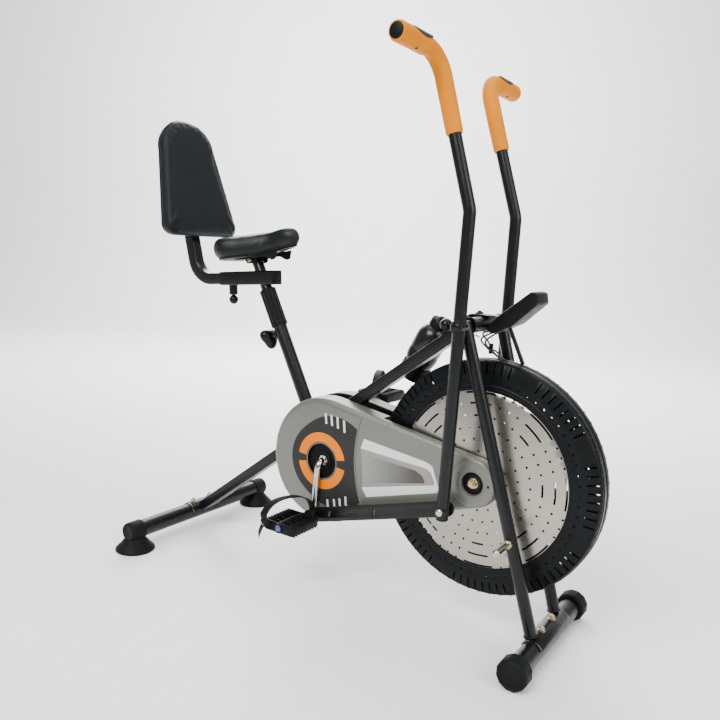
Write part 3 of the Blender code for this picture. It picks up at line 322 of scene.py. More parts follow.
def make_print_panel():
    """The panel printed on the case's nose, darker towards the front."""
    panel = Shader("print_panel", "silver_plastic", (0.10, 0.10, 0.09), 0.36)
    along = panel.node("SeparateXYZ", {0: panel.place}).outputs["X"]
    share = panel.span(along, CRANK.x + 0.135, CRANK.x + 0.285, 0, 1)
    uneven = panel.span(panel.noise(40), 0, 1, -0.03, 0.03)
    share = panel.node("Math", {0: share, 1: uneven}, operation="ADD").outputs[0]
    panel.paint(panel.blend_colour(share, (0.225, 0.235, 0.215), (0.040, 0.037, 0.030)))
    panel.gloss(30, 0.05)
    panel.bump(panel.noise(1800, 2), 0.00008, 0.35)


def make_vinyl(name, colour, roughness, specular, mottle, gloss, cells, creases):
    """Grained vinyl: cells is (scale, edge, depth, strength) and creases is (scale, strength)."""
    vinyl = finish(name, "vinyl", colour, roughness, 0, specular, mottle, gloss)
    scale, edge, depth, strength = cells
    grain = vinyl.node("TexVoronoi", {"Vector": vinyl.place, "Scale": scale}, feature="DISTANCE_TO_EDGE")
    vinyl.bump(vinyl.span(grain.outputs["Distance"], 0, edge, 0, 1), depth, strength)
    vinyl.bump(vinyl.noise(creases[0], 3), 0.0015, creases[1])


def make_soft_materials():
    make_vinyl(
        "vinyl", (0.0034, 0.0056, 0.0074), 0.42, 0.16,
        (11, 0.12), (20, 0.05), (560.0, 0.22, 0.00035, 0.5), (46, 0.22),
    )
    make_vinyl(
        "saddle_vinyl", (0.0034, 0.0048, 0.0060), 0.36, 0.24,
        (14, 0.12), (26, 0.05), (640.0, 0.20, 0.00025, 0.4), (40, 0.20),
    )
    wood = Shader("board", "wood", (0.30, 0.20, 0.10), 0.75)
    rings = wood.noise(28, 4, 0.6, (1, 0.15, 1))
    wood.paint(wood.blend_colour(wood.span(rings, 0.35, 0.65, 0, 1), (0.22, 0.14, 0.07), (0.40, 0.28, 0.15)))
    wood.gloss(60, 0.08)
    wood.bump(rings, 0.0006, 0.4)


# ---------------------------------------------------------------- mesh tools
def to_object(form, name):
    mesh = bpy.data.meshes.new(name)
    form.to_mesh(mesh)
    form.free()
    obj = bpy.data.objects.new(name, mesh)
    bpy.context.scene.collection.objects.link(obj)
    return obj


def closed_object(form, name):
    bmesh.ops.recalc_face_normals(form, faces=form.faces)
    return to_object(form, name)


def settle(obj):
    """Turn the object's modifiers into plain mesh."""
    bpy.context.view_layer.update()
    graph = bpy.context.evaluated_depsgraph_get()
    mesh = bpy.data.meshes.new_from_object(obj.evaluated_get(graph))
    obj.modifiers.clear()
    obj.data = mesh
    return obj


def smooth(obj, angle=38):
    obj.data.shade_smooth()
    obj.data.set_sharp_from_angle(angle=radians(angle))
    return obj


def soften(obj, width, segments=3, angle=38):
    """Round the object's sharp edges."""
    modifier = obj.modifiers.new("bevel", "BEVEL")
    modifier.width = width
    modifier.segments = segments
    modifier.limit_method = "ANGLE"
    modifier.angle_limit = radians(angle)
    modifier.harden_normals = False
    return smooth(settle(obj), angle)


def thicken(obj, thickness):
    modifier = obj.modifiers.new("wall", "SOLIDIFY")
    modifier.thickness = thickness
    modifier.offset = -1
    return settle(obj)


def carve(obj, *cutters):
    for cutter in cutters:
        modifier = obj.modifiers.new("cut", "BOOLEAN")
        modifier.object = cutter
        settle(obj)
        bpy.data.objects.remove(cutter, do_unlink=True)
    return obj


def join(name, objects):
    """Several loose solids as one object."""
    form = bmesh.new()
    for obj in objects:
        start = len(form.verts)
        form.from_mesh(obj.data)
        form.verts.ensure_lookup_table()
        for vertex in form.verts[start:]:
            vertex.co = obj.matrix_world @ vertex.co
        bpy.data.objects.remove(obj, do_unlink=True)
    return smooth(to_object(form, name))


def show(obj, material, body, *nodes):
    """Give a finished piece its material and body, and hide the CAD nodes that it stands for."""
    made, slot = MATERIALS[material]
    obj.data.materials.clear()
    obj.data.materials.append(made)
    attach(obj, body)
    if nodes:
        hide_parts(*nodes)
    return obj


def circle(radius, sides=32, start=0.0):
    return [
        (radius * cos(start + 2 * pi * i / sides), radius * sin(start + 2 * pi * i / sides))
        for i in range(sides)
    ]


def rounded_box(half_u, half_v, corner, steps=4):
    """Section of a rectangular bar with round corners."""
    points = []
    for quarter, (sign_u, sign_v) in enumerate(((1, 1), (-1, 1), (-1, -1), (1, -1))):
        for i in range(steps + 1):
            angle = pi / 2 * (quarter + i / steps)
            points.append((
                sign_u * (half_u - corner) + corner * cos(angle),
                sign_v * (half_v - corner) + corner * sin(angle),
            ))
    return points


def frames_along(path, reference=Y_AXIS):
    """(point, side, up) for each point of a path, turning as little as possible."""
    frames = []
    side = None
    for i, point in enumerate(path):
        ahead = (path[min(i + 1, len(path) - 1)] - path[max(i - 1, 0)]).normalized()
        if side is None:
            side = reference if abs(ahead.dot(reference)) < 0.9 else Z_AXIS
        side = (side - ahead * side.dot(ahead)).normalized()
        frames.append((point, side, ahead.cross(side)))
    return frames


def loft(name, rings, cyclic=False):
    """A closed skin through rings of points. Its two ends are faced over unless it is cyclic."""
    form = bmesh.new()
    rings = [[form.verts.new(point) for point in ring] for ring in rings]
    pairs = list(zip(rings, rings[1:])) + ([(rings[-1], rings[0])] if cyclic else [])
    for ring, following in pairs:
        for j, corner in enumerate(ring):
            k = (j + 1) % len(ring)
            form.faces.new((corner, ring[k], following[k], following[j]))
    if not cyclic:
        form.faces.new(rings[0][::-1])
        form.faces.new(rings[-1])
    return closed_object(form, name)


def sweep(name, path, section, reference=Y_AXIS, scale=None, cyclic=False):
    """A bar of the given section along a path. scale(share) widens or narrows it."""
    rings = []
    last = len(path) - 1
    for i, (point, side, up) in enumerate(frames_along(path, reference)):
        size = scale(i / last) if scale else 1
        rings.append([point + side * (u * size) + up * (v * size) for u, v in section])
    return loft(name, rings, cyclic)


def rounded_path(corners, radius, steps=10):
    """The corners joined by straight lines, with each inner corner turned at the given radius."""
    path = [corners[0]]
    for before, corner, after in zip(corners, corners[1:], corners[2:]):
        back = (before - corner).normalized()
        ahead = (after - corner).normalized()
        half = back.angle(ahead) / 2
        centre = corner + (back + ahead).normalized() * radius / sin(half)
        start = corner + back * radius / tan(half) - centre
        end = corner + ahead * radius / tan(half) - centre
        sweep_angle = start.angle(end)
        for step in range(steps + 1):
            share = step / steps
            path.append(centre + (
                start * sin((1 - share) * sweep_angle) + end * sin(share * sweep_angle)
            ) / sin(sweep_angle))
    path.append(corners[-1])
    return path


def curve_through(points, steps=6):
    """A smooth line through the points."""
    path = []
    for i in range(len(points) - 1):
        before, start = points[max(i - 1, 0)], points[i]
        end, after = points[i + 1], points[min(i + 2, len(points) - 1)]
        for step in range(steps):
            t = step / steps
            path.append(0.5 * (
                2 * start + (end - before) * t + (2 * before - 5 * start + 4 * end - after) * t**2
                + (3 * start - before - 3 * end + after) * t**3
            ))
    path.append(points[-1])
    return path


def lathe(name, profile, centre, axis, steps=48, closed=False):
    """A turned piece: profile is (radius, height) along the axis, from one end to the other."""
    axis = axis.normalized()
    side = (Z_AXIS if abs(axis.z) < 0.9 else Vector((1, 0, 0))).cross(axis).normalized()
    up = axis.cross(side)
    form = bmesh.new()
    rings = []
    for radius, height in profile:
        base = centre + axis * height
        if radius < 1e-6:
            rings.append([form.verts.new(base)])
        else:
            rings.append([form.verts.new(base + side * u + up * v) for u, v in circle(radius, steps)])
    pairs = list(zip(rings, rings[1:])) + ([(rings[-1], rings[0])] if closed else [])
    for ring, following in pairs:
        for j in range(steps):
            corners = [ring[j % len(ring)], ring[(j + 1) % len(ring)]]
            corners += [following[(j + 1) % len(following)], following[j % len(following)]]
            corners = list(dict.fromkeys(corners))
            if len(corners) > 2:
                form.faces.new(corners)
    if not closed:
        for ring in (rings[0], rings[-1]):
            if len(ring) > 1:
                form.faces.new(ring)
    return smooth(closed_object(form, name))


def bar(name, start, end, radius, end_radius=None, sides=32, chamfer=0.0006):
    """A round bar with softened ends."""
    length = (end - start).length
    end_radius = radius if end_radius is None else end_radius
    profile = [
        (radius - chamfer, 0),
        (radius, chamfer),
        (end_radius, length - chamfer),
        (end_radius - chamfer, length),
    ]
    return lathe(name, profile, start, end - start, sides)


def dome(name, centre, axis, radius, height, sides=32):
    """A domed cap that stands on a point."""
    profile = [(radius, 0)]
    profile += [(radius * cos(a), height * sin(a)) for a in [pi / 16 * i for i in range(1, 8)]]
    return lathe(name, profile + [(0, height)], centre, axis, sides)


def ball(name, centre, radius, axis=Z_AXIS, sides=32):
    angles = [pi * i / 16 for i in range(17)]
    profile = [(radius * sin(a), -radius * cos(a)) for a in angles]
    profile[0], profile[-1] = (0, -radius), (0, radius)
    return lathe(name, profile, centre, axis, sides)


def nut(name, centre, axis, across_flats, height):
    """A hexagon nut or bolt head with a chamfered face."""
    radius = across_flats / sqrt(3)
    body = lathe(name, [(radius, 0), (radius, height * 0.8), (radius * 0.84, height)], centre, axis, 6)
    return soften(body, 0.0004, 2, 20)


def box(name, centre, size, axes=None, corner=0.002, segments=3):
    """A box with rounded edges, turned by the given (ahead, side, up) axes."""
    form = bmesh.new()
    bmesh.ops.create_cube(form, size=1)
    ahead, side, up = axes or (Vector((1, 0, 0)), Y_AXIS, Z_AXIS)
    for vertex in form.verts:
        x, y, z = vertex.co
        vertex.co = centre + ahead * (x * size[0]) + side * (y * size[1]) + up * (z * size[2])
    return soften(closed_object(form, name), corner, segments)


def slab(name, outline, low, high, to_world):
    """An outline of (u, v) points given a thickness; to_world(u, v, w) places each corner."""
    return loft(name, [[to_world(u, v, w) for u, v in outline] for w in (low, high)])


def inside(point, loop):
    x, y = point
    within = False
    for (x0, y0), (x1, y1) in zip(loop, loop[1:] + loop[:1]):
        if (y0 > y) != (y1 > y) and x < (x1 - x0) * (y - y0) / (y1 - y0) + x0:
            within = not within
    return within


def perforated(name, outline, holes, extra, to_world, outward):
    """A sheet bounded by an outline, with real holes; extra points keep its triangles small."""
    loops = [outline, *holes]
    points, edges, owner = [], [], []
    for index, loop in enumerate(loops):
        start = len(points)
        points += [Vector(point) for point in loop]
        owner += [index] * len(loop)
        edges += [(start + i, start + (i + 1) % len(loop)) for i in range(len(loop))]
    points += [Vector(point) for point in extra]
    owner += [-1] * len(extra)
    found, _, faces, originals, _, _ = delaunay_2d_cdt(points, edges, [], 1, 1e-7)
    form = bmesh.new()
    verts = [form.verts.new(to_world(*point)) for point in found]
    for face in faces:
        owners = {owner[originals[i][0]] if originals[i] else -1 for i in face}
        centre = sum((found[i] for i in face), Vector((0, 0))) / len(face)
        if len(owners) == 1 and min(owners) > 0 and inside(centre, loops[min(owners)]):
            continue
        if not inside(centre, outline):
            continue
        form.faces.new([verts[i] for i in face])
    for vertex in [vertex for vertex in form.verts if not vertex.link_faces]:
        form.verts.remove(vertex)
    bmesh.ops.recalc_face_normals(form, faces=form.faces)
    form.faces.ensure_lookup_table()
    if form.faces[0].normal.dot(outward) < 0:
        bmesh.ops.reverse_faces(form, faces=form.faces)
    return to_object(form, name)


def dot(radius, bearing, size, sides=10):
    centre = (radius * cos(radians(bearing)), radius * sin(radians(bearing)))
    return [(centre[0] + u, centre[1] + v) for u, v in circle(size, sides)]


def arc_slot(radius, bearing, half_span, half_width, steps=10):
    """A slot that follows a circle round the origin, with round ends."""
    points = []
    for sign in (1, -1):
        for i in range(steps + 1):
            angle = radians(bearing + sign * half_span * (2 * i / steps - 1))
            edge = radius + sign * half_width
            points.append((edge * cos(angle), edge * sin(angle)))
        end = radians(bearing + sign * half_span)
        tip = Vector((-sin(end), cos(end))) * sign * half_width
        points.append((radius * cos(end) + tip.x, radius * sin(end) + tip.y))
    return points


def straight_slot(start, end, half_width, steps=5):
    """A slot between two points, with round ends."""
    start, end = Vector(start), Vector(end)
    heading = atan2(end.y - start.y, end.x - start.x)
    points = []
    for centre, turn in ((end, -pi / 2), (start, pi / 2)):
        for i in range(steps + 1):
            angle = heading + turn + pi * i / steps
            points.append((centre.x + half_width * cos(angle), centre.y + half_width * sin(angle)))
    return points


def arc(centre, radius, start, end, steps):
    """Points on an arc, angles in degrees."""
    angles = [radians(start + (end - start) * i / steps) for i in range(steps + 1)]
    return [(centre[0] + radius * cos(a), centre[1] + radius * sin(a)) for a in angles]


def teardrop(radius, nose_radius, steps):
    """The chain case's outline, from the crank centre: a big and a small circle and their tangents."""
    reach = Vector((FAN.x - CRANK.x, FAN.z - CRANK.z))
    heading = degrees(atan2(reach.y, reach.x))
    spread = degrees(acos((radius - nose_radius) / reach.length))
    big = arc((0, 0), radius, heading + spread, heading + 360 - spread, steps)
    return big + arc(reach, nose_radius, heading - spread, heading + spread, steps // 2)


def rounded_corners(corners, radii, steps=5):
    """A closed outline whose corners are turned at the given radii."""
    outline = []
    count = len(corners)
    for i, corner in enumerate(corners):
        corner = Vector(corner)
        if radii[i] <= 0:
            outline.append(tuple(corner))
            continue
        back = (Vector(corners[i - 1]) - corner).normalized()
        ahead = (Vector(corners[(i + 1) % count]) - corner).normalized()
        reach = radii[i] / tan(back.angle(ahead) / 2)
        first, last = corner + back * reach, corner + ahead * reach
        for step in range(steps + 1):
            t = step / steps
            point = (1 - t) ** 2 * first + 2 * t * (1 - t) * corner + t**2 * last
            outline.append(tuple(point))
    return outline


def plan(centre):
    """Placing function for outlines drawn in the bike's side view round a centre."""
    return lambda u, v, w: Vector((centre.x + u, w, centre.z + v))


# ---------------------------------------------------------------- frame
def beam_point(x):
    return SEAT_FOOT + BEAM_AHEAD * (x - SEAT_FOOT.x) / BEAM_AHEAD.x


def weld(name, centre, axis, radius, bead=0.0022):
    """The bead of weld round a tube's foot."""
    side = (Z_AXIS if abs(axis.z) < 0.9 else Vector((1, 0, 0))).cross(axis).normalized()
    up = axis.cross(side)
    path = []
    for i in range(72):
        angle = 2 * pi * i / 72
        ripple = bead * 0.18 * sin(24 * angle)
        path.append(centre + (side * cos(angle) + up * sin(angle)) * (radius + ripple))
    return smooth(sweep(name, path, circle(bead, 8), axis, cyclic=True))


def foot_plate(name, foot, half_length, start, end, *nodes):
    """Curved plate over a foot tube, with the edges rubbed bare."""
    outline = arc((0, 0), 0.0284, start, end, 20) + arc((0, 0), 0.0252, end, start, 20)
    plate = soften(slab(name, outline, -half_length, half_length, plan(foot)), 0.0008, 2, 30)
    show(plate, "powder_coat", "frame", *nodes)
    for end_side in (-1, 1):
        rim_y = end_side * (half_length - 0.0004)
        rim = [Vector((u, 0, v)) + across(foot, rim_y) for u, v in arc((0, 0), 0.0272, start, end, 20)]
        edge = smooth(sweep(f"{name}_edge", rim, rounded_box(0.0009, 0.0012, 0.0006, 2)))
        show(edge, "bare_metal", "frame")


def domed_nut(name, foot, y, *nodes):
    base = across(foot, y) + Z_AXIS * 0.0283
    profile = [(0.0092, 0), (0.0092, 0.0012), (0.0086, 0.0016), (0.0045, 0.0016)]
    washer = lathe("washer", profile, base, Z_AXIS, 32)
    body = nut("nut", base + Z_AXIS * 0.0014, Z_AXIS, 0.0134, 0.0062)
    top = dome("top", base + Z_AXIS * 0.0072, Z_AXIS, 0.0057, 0.0052, 24)
    show(join(name, [washer, body, top]), "yellow_zinc", "frame", *nodes)


def make_beam():
    rear = beam_point(REAR_FOOT.x + 0.012)
    front = beam_point(PIVOT.x - 0.020)
    beam = smooth(sweep("beam", [rear, front], rounded_box(0.020, 0.015, 0.004)), 30)
    show(beam, "powder_coat", "frame", "main_beam")
    foot_plate("rear_plate", REAR_FOOT, 0.055, 10, 150)
    show(weld("beam_weld", SEAT_FOOT + SEAT_UP * 0.014, SEAT_UP, 0.0198), "powder_coat", "frame")
    for side in SIDES.values():
        domed_nut("rear_nut", REAR_FOOT, side * FOOT_BOLT_Y)


def make_pivot_housing():
    housing = bar("pivot_housing_tube", across(PIVOT, -0.082), across(PIVOT, 0.082), 0.018, sides=48)
    show(housing, "powder_coat", "frame", "pivot_housing")
    end = bar("beam_end", beam_point(PIVOT.x - 0.022), beam_point(PIVOT.x - 0.006), 0.0165)
    show(end, "powder_coat", "frame")
    for side in SIDES.values():
        show(weld("leg_weld", across(PIVOT, side * 0.0815), Y_AXIS, 0.0182, 0.0018), "powder_coat", "frame")


def make_leg(name, side):
    foot = across(FRONT_FOOT, side * 0.074) + Vector((-0.004, 0, 0.010))
    top = across(PIVOT, side * 0.0975)
    up = (top - foot).normalized()
    leg = bar("leg", foot + up * 0.018, top + up * 0.009, TUBE_RADIUS, sides=48)
    cap = dome("leg_top", top + up * 0.008, up, TUBE_RADIUS - 0.0003, 0.0045, 40)
    show(join(f"leg_tube_{name}", [leg, cap]), "powder_coat", "frame", f"leg_{name}")
    bead = weld("foot_weld", foot + up * 0.021, up, TUBE_RADIUS + 0.0005)
    show(bead, "powder_coat", "frame")
    share = (0.272 - foot.z) / (top.z - foot.z)
    make_peg(name, side, foot.lerp(top, share))


def make_peg(name, side, base):
    inner = base + Vector((0, side * (TUBE_RADIUS + 0.0008), 0))
    outer = across(base, side * 0.162)
    out = Y_AXIS * side
    rod = bar("peg", inner, outer, 0.0065, sides=32)
    tip = ball("peg_tip", outer, 0.0085, out)
    show(join(f"peg_{name}", [rod, tip]), "chrome", "frame", f"foot_peg_{name}")
    show(nut(f"peg_nut_{name}", inner + out * 0.0004, out, 0.0185, 0.008), "yellow_zinc", "frame")


def make_seat_tube():
    top = SEAT_FOOT + SEAT_UP * 0.328
    tube = bar("seat_tube_body", SEAT_FOOT + SEAT_UP * 0.004, top, 0.019, sides=48)
    boss = bar("boss", KNOB_FOOT + KNOB_OUT * 0.0165, KNOB_FOOT + KNOB_OUT * 0.034, 0.010)
    bead = weld("boss_weld", KNOB_FOOT + KNOB_OUT * 0.0182, KNOB_OUT, 0.0104, 0.0014)
    show(join("seat_tube_whole", [tube, boss, bead]), "powder_coat", "frame", "seat_tube")


def make_feet():
    front = bar("front_bar", across(FRONT_FOOT, -0.1955), across(FRONT_FOOT, 0.1955), 0.025, sides=64)
    show(front, "powder_coat", "frame", "front_stabiliser")
    rear = bar("rear_bar", across(REAR_FOOT, -0.2715), across(REAR_FOOT, 0.2715), 0.025, sides=64)
    show(rear, "powder_coat", "frame", "rear_stabiliser")
    foot_plate("front_plate", FRONT_FOOT, 0.092, 25, 155, "front_saddle")
    for name, side in SIDES.items():
        domed_nut(f"front_nut_{name}", FRONT_FOOT, side * FOOT_BOLT_Y, f"front_bolt_{name}")
        make_front_cap(name, side)
        make_rear_foot(name, side)


def make_front_cap(name, side):
    """Twelve-sided cap with a dished face and a groove round each edge."""
    out = Y_AXIS * side
    face = across(FRONT_FOOT, side * 0.209)
    profile = [(0.0265, -0.042), (0.0312, -0.042), (0.0345, -0.0385), (0.0358, -0.036)]
    profile += [(0.0358, -0.031), (0.0350, -0.0300), (0.0358, -0.0290), (0.0358, -0.0075)]
    profile += [(0.0335, -0.0030), (0.0305, 0.0), (0.0285, -0.0008), (0.0255, -0.0035), (0, -0.0045)]
    cap = lathe("cap", profile, face, out, 12)
    tilt = Matrix.Translation(face) @ Matrix.Rotation(radians(15), 4, "Y") @ Matrix.Translation(-face)
    cap.data.transform(tilt)
    show(soften(cap, 0.0010, 2, 22), "rubber", "frame", f"front_cap_{name}")


def make_rear_foot(name, side):
    out = Y_AXIS * side
    face = across(REAR_FOOT, side * 0.285)
    profile = [(0.0256, -0.048), (0.0270, -0.0480), (0.0285, -0.0465), (0.0285, -0.038)]
    profile += [(0.0278, -0.0372), (0.0285, -0.0364), (0.0285, -0.008), (0.0262, -0.0026)]
    profile += [(0.0215, 0.0), (0.0185, -0.0006), (0, -0.0026)]
    cap = lathe("cap", profile, face, out, 48)
    floor = across(REAR_FOOT, side * 0.257)
    floor.z = 0
    steps = [(0.030, 0.0), (0.0535, 0.0), (0.0560, 0.0022), (0.0556, 0.0055), (0.0520, 0.0075)]
    steps += [(0.0505, 0.011), (0.0400, 0.0205), (0.0385, 0.0240), (0.0300, 0.034), (0.0225, 0.045)]
    steps += [(0, 0.046)]
    cone = lathe("cone", steps, floor, Z_AXIS, 48)
    show(join(f"rear_cap_{name}", [cap, cone]), "rubber", "frame", f"rear_foot_{name}")


# ---------------------------------------------------------------- seat post, carrier and back
def carrier_point(along, above=0.0):
    return CARRIER + CARRIER_AHEAD * along + CARRIER_ABOVE * above


def make_seat_post():
    post = bar("post", SEAT_FOOT + SEAT_UP * 0.150, SEAT_FOOT + SEAT_UP * 0.503, 0.016, sides=48)
    show(post, "satin_paint", "seat", "seat_post")


def make_sleeve():
    """Bush with flutes down its sides, a collar top and bottom."""
    start = SEAT_FOOT + SEAT_UP * 0.312
    flutes = []
    for i in range(96):
        angle = 2 * pi * i / 96
        radius = 0.0222 + 0.0011 * max(-0.4, cos(16 * angle))
        flutes.append((radius * cos(angle), radius * sin(angle)))
    body = smooth(sweep("flutes", [start + SEAT_UP * 0.009, start + SEAT_UP * 0.100], flutes))
    low = [(0.0195, 0), (0.0228, 0), (0.0236, 0.0012), (0.0236, 0.009), (0.0226, 0.0112)]
    low += [(0.0195, 0.0112)]
    high = [(0.0168, 0.110), (0.0225, 0.110), (0.0236, 0.1088), (0.0236, 0.101), (0.0226, 0.0985)]
    high += [(0.0168, 0.0985)]
    bands = [lathe("low", low, start, SEAT_UP), lathe("high", high, start, SEAT_UP)]
    show(join("sleeve", [body, *bands]), "moulded_black", "frame", "post_sleeve")


def make_height_knob():
    """Three-lobed knob with a round recess in its face, on its sprung pin."""
    side = Y_AXIS
    up = KNOB_OUT.cross(side)
    form = bmesh.new()
    rings = []
    levels = [(0.0354, 0.50), (0.0362, 0.62), (0.0385, 0.76), (0.0430, 0.90), (0.0490, 0.985)]
    levels += [(0.0545, 1.0), (0.0590, 0.96), (0.0614, 0.86), (0.0622, 0.70)]
    recess = [(0.0612, 0.0105), (0.0575, 0.0098), (0.0572, 0.0)]
    for height, size in levels + recess:
        ring = []
        for i in range(72):
            angle = 2 * pi * i / 72
            lobe = 0.0285 + 0.0045 * cos(3 * angle)
            radius = lobe * size if (height, size) in levels else size
            turned = side * (radius * sin(angle)) + up * (radius * cos(angle))
            point = KNOB_FOOT + KNOB_OUT * height + turned
            ring.append(form.verts.new(point))
        rings.append(ring)
    for ring, following in zip(rings, rings[1:]):
        for j in range(72):
            form.faces.new((ring[j], ring[(j + 1) % 72], following[(j + 1) % 72], following[j]))
    form.faces.new(rings[0])
    bmesh.ops.remove_doubles(form, verts=form.verts, dist=1e-6)
    grip = smooth(closed_object(form, "knob_grip"), 42)
    pin = bar("knob_pin", KNOB_FOOT + KNOB_OUT * 0.0172, KNOB_FOOT + KNOB_OUT * 0.0365, 0.004)
    show(join("height_knob_grip", [grip, pin]), "gloss_black", "height_pin", "height_knob")


PLUNGER_ALONG = -0.120


def make_carrier():
    tube = sweep("carrier", [carrier_point(-0.155), carrier_point(0.050)], rounded_box(0.020, 0.020, 0.004))
    bore = sweep("bore", [carrier_point(-0.17), carrier_point(0.03)], rounded_box(0.018, 0.018, 0.003))
    carve(tube, bore)
    smooth(tube, 30)
    boss = bar("boss", carrier_point(PLUNGER_ALONG, -0.0185), carrier_point(PLUNGER_ALONG, -0.048), 0.0125)
    bead = weld("boss_weld", carrier_point(PLUNGER_ALONG, -0.0202), CARRIER_ABOVE, 0.0128, 0.0014)
    show(join("carrier_tube", [tube, boss, bead]), "powder_coat", "seat", "seat_carrier")
    axes = (CARRIER_AHEAD, Y_AXIS, CARRIER_ABOVE)
    cap = box("cap", carrier_point(0.0512), (0.0036, 0.0400, 0.0400), axes, 0.0015)
    rim = box("raised", carrier_point(0.0530), (0.0012, 0.0270, 0.0270), axes, 0.0005)
    show(join("carrier_end", [cap, rim]), "moulded_black", "seat", "carrier_cap")
    pin = bar("pin", carrier_point(PLUNGER_ALONG, -0.0182), carrier_point(PLUNGER_ALONG, -0.055), 0.004)
    collar_ends = [carrier_point(PLUNGER_ALONG, below) for below in (-0.0484, -0.0525)]
    collar = bar("collar", *collar_ends, 0.0062)
    head = ball("head", carrier_point(PLUNGER_ALONG, -0.0625), 0.0136, CARRIER_ABOVE)
    show(join("plunger", [pin, collar, head]), "gloss_black", "back_pin", "back_plunger")


BACK_LEAN = radians(15.6)
BACK_UP = Vector((-sin(BACK_LEAN), 0, cos(BACK_LEAN)))
BACK_AHEAD = Vector((cos(BACK_LEAN), 0, sin(BACK_LEAN)))
BACK_AXES = (BACK_AHEAD, Y_AXIS, BACK_UP)
PAD_FOOT = Vector((FRONT_FOOT.x - 1.163, 0, 0.915))
PAD_HEIGHT = 0.352
SEAM_DEPTH = 0.0085


def make_back_tube():
    corner = carrier_point(-0.2627)
    path = rounded_path([carrier_point(-0.045), corner, corner + BACK_UP * 0.285], 0.075, 20)
    tube = smooth(sweep("bent_tube", path, rounded_box(0.017, 0.017, 0.004)), 30)
    show(tube, "satin_paint", "back", "back_tube")
    top = corner + BACK_UP * 0.285
    plug = box("tube_plug", top + BACK_UP * 0.0012, (0.034, 0.034, 0.004), BACK_AXES, 0.0015)
    show(plug, "moulded_black", "back")
    for height in (0.075, 0.215):
        for side in SIDES.values():
            spot = PAD_FOOT + BACK_UP * height - BACK_AHEAD * 0.0270
            spot.y = side * 0.028
            show(dome("board_screw", spot, -BACK_AHEAD, 0.0055, 0.0032), "yellow_zinc", "back")
        tab_centre = PAD_FOOT + BACK_UP * height - BACK_AHEAD * 0.0284
        tab = box("board_tab", tab_centre, (0.0026, 0.078, 0.022), BACK_AXES, 0.0008)
        show(tab, "powder_coat", "back")


def pad_outline(inset):
    """Tapered outline with round lower corners and a round top, as (across, up) points."""
    foot, shoulder, top, corner, bend = 0.138 - inset, 0.100 - inset, PAD_HEIGHT - inset, 0.030, 0.262
    half = [
        (foot - corner + corner * cos(a), inset + corner + corner * sin(a))
        for a in [radians(-90 + 85 * i / 8) for i in range(9)]
    ]
    half += [
        (shoulder * cos(a) ** 0.8, bend + (top - bend) * sin(a))
        for a in [radians(90 * i / 20) for i in range(20)]
    ]
    return half + [(0, top)] + [(-x, z) for x, z in reversed(half)]


def on_back(u, v, w):
    return PAD_FOOT + Y_AXIS * u + BACK_UP * v + BACK_AHEAD * w


def padded_slab(name, outline, inset_at, low, high, to_world, steps):
    """A cushion blank: the outline drawn in at the two faces so that its edge is round."""
    rings = []
    for i in range(steps):
        angle = pi * i / (steps - 1)
        inset = inset_at * (1 - sin(angle))
        depth = (low + high) / 2 - (high - low) / 2 * cos(angle)
        rings.append([to_world(u, v, depth) for u, v in outline(inset)])
    return loft(name, rings)


COVER_CLOTH = {
    "quality": 6,
    "mass": 0.25,
    "tension_stiffness": 12,
    "compression_stiffness": 12,
    "bending_stiffness": 3.0,
    "use_pressure": True,
}


def upholster(obj, voxel, pressure, limit, held, frames=18):
    """Fill the cover: fine cloth blown up from inside, with the vertices that held() picks kept still."""
    remesh = obj.modifiers.new("fine", "REMESH")
    remesh.mode = "VOXEL"
    remesh.voxel_size = voxel
    remesh.use_smooth_shade = True
    settle(obj)
    rest = [vertex.co.copy() for vertex in obj.data.vertices]
    group = obj.vertex_groups.new(name="held")
    group.add([i for i, point in enumerate(rest) if held(point)], 1.0, "REPLACE")
    cloth = obj.modifiers.new("cloth", "CLOTH")
    for setting, value in COVER_CLOTH.items():
        setattr(cloth.settings, setting, value)
    cloth.settings.uniform_pressure_force = pressure
    cloth.settings.vertex_group_mass = "held"
    cloth.settings.effector_weights.gravity = 0
    cloth.point_cache.frame_end = frames
    for step in range(1, frames + 1):
        bpy.context.scene.frame_set(step)
    graph = bpy.context.evaluated_depsgraph_get()
    blown = obj.evaluated_get(graph).to_mesh()
    moved = [vertex.co.copy() for vertex in blown.vertices]
    obj.evaluated_get(graph).to_mesh_clear()
    obj.modifiers.clear()
    for vertex, before, after in zip(obj.data.vertices, rest, moved):
        step = after - before
        if step.length > limit:
            step = step * (limit / step.length)
        vertex.co = before + step
    bpy.context.scene.frame_set(1)
    finer = obj.modifiers.new("finer", "SUBSURF")
    finer.levels = 1
    return smooth(settle(obj), 75)


def make_back_pad():
    pad = padded_slab(
        "back_cushion", lambda inset: pad_outline(inset + 0.0012), 0.0070, -0.0178, 0.0225,
        on_back, 11,
    )

    def held(point):
        depth = (point - PAD_FOOT).dot(BACK_AHEAD)
        return depth < -0.0125 or abs(depth - SEAM_DEPTH) < 0.0028

    upholster(pad, 0.005, 5.0, 0.0032, held)
    show(pad, "vinyl", "back", "back_pad")
    seam = [on_back(u, v, SEAM_DEPTH) for u, v in pad_outline(0.0012)]
    piping = smooth(sweep("pad_seam", seam, circle(0.0011, 10), BACK_AHEAD, cyclic=True))
    show(piping, "thread", "back")
    board = slab("pad_board", pad_outline(0.012), -0.0270, -0.0182, on_back)
    show(soften(board, 0.0012, 2), "board", "back", "back_board")
    cover = slab("pad_turnover", pad_outline(0.0090), -0.0262, -0.0168, on_back)
    show(soften(cover, 0.0012, 2), "vinyl", "back")


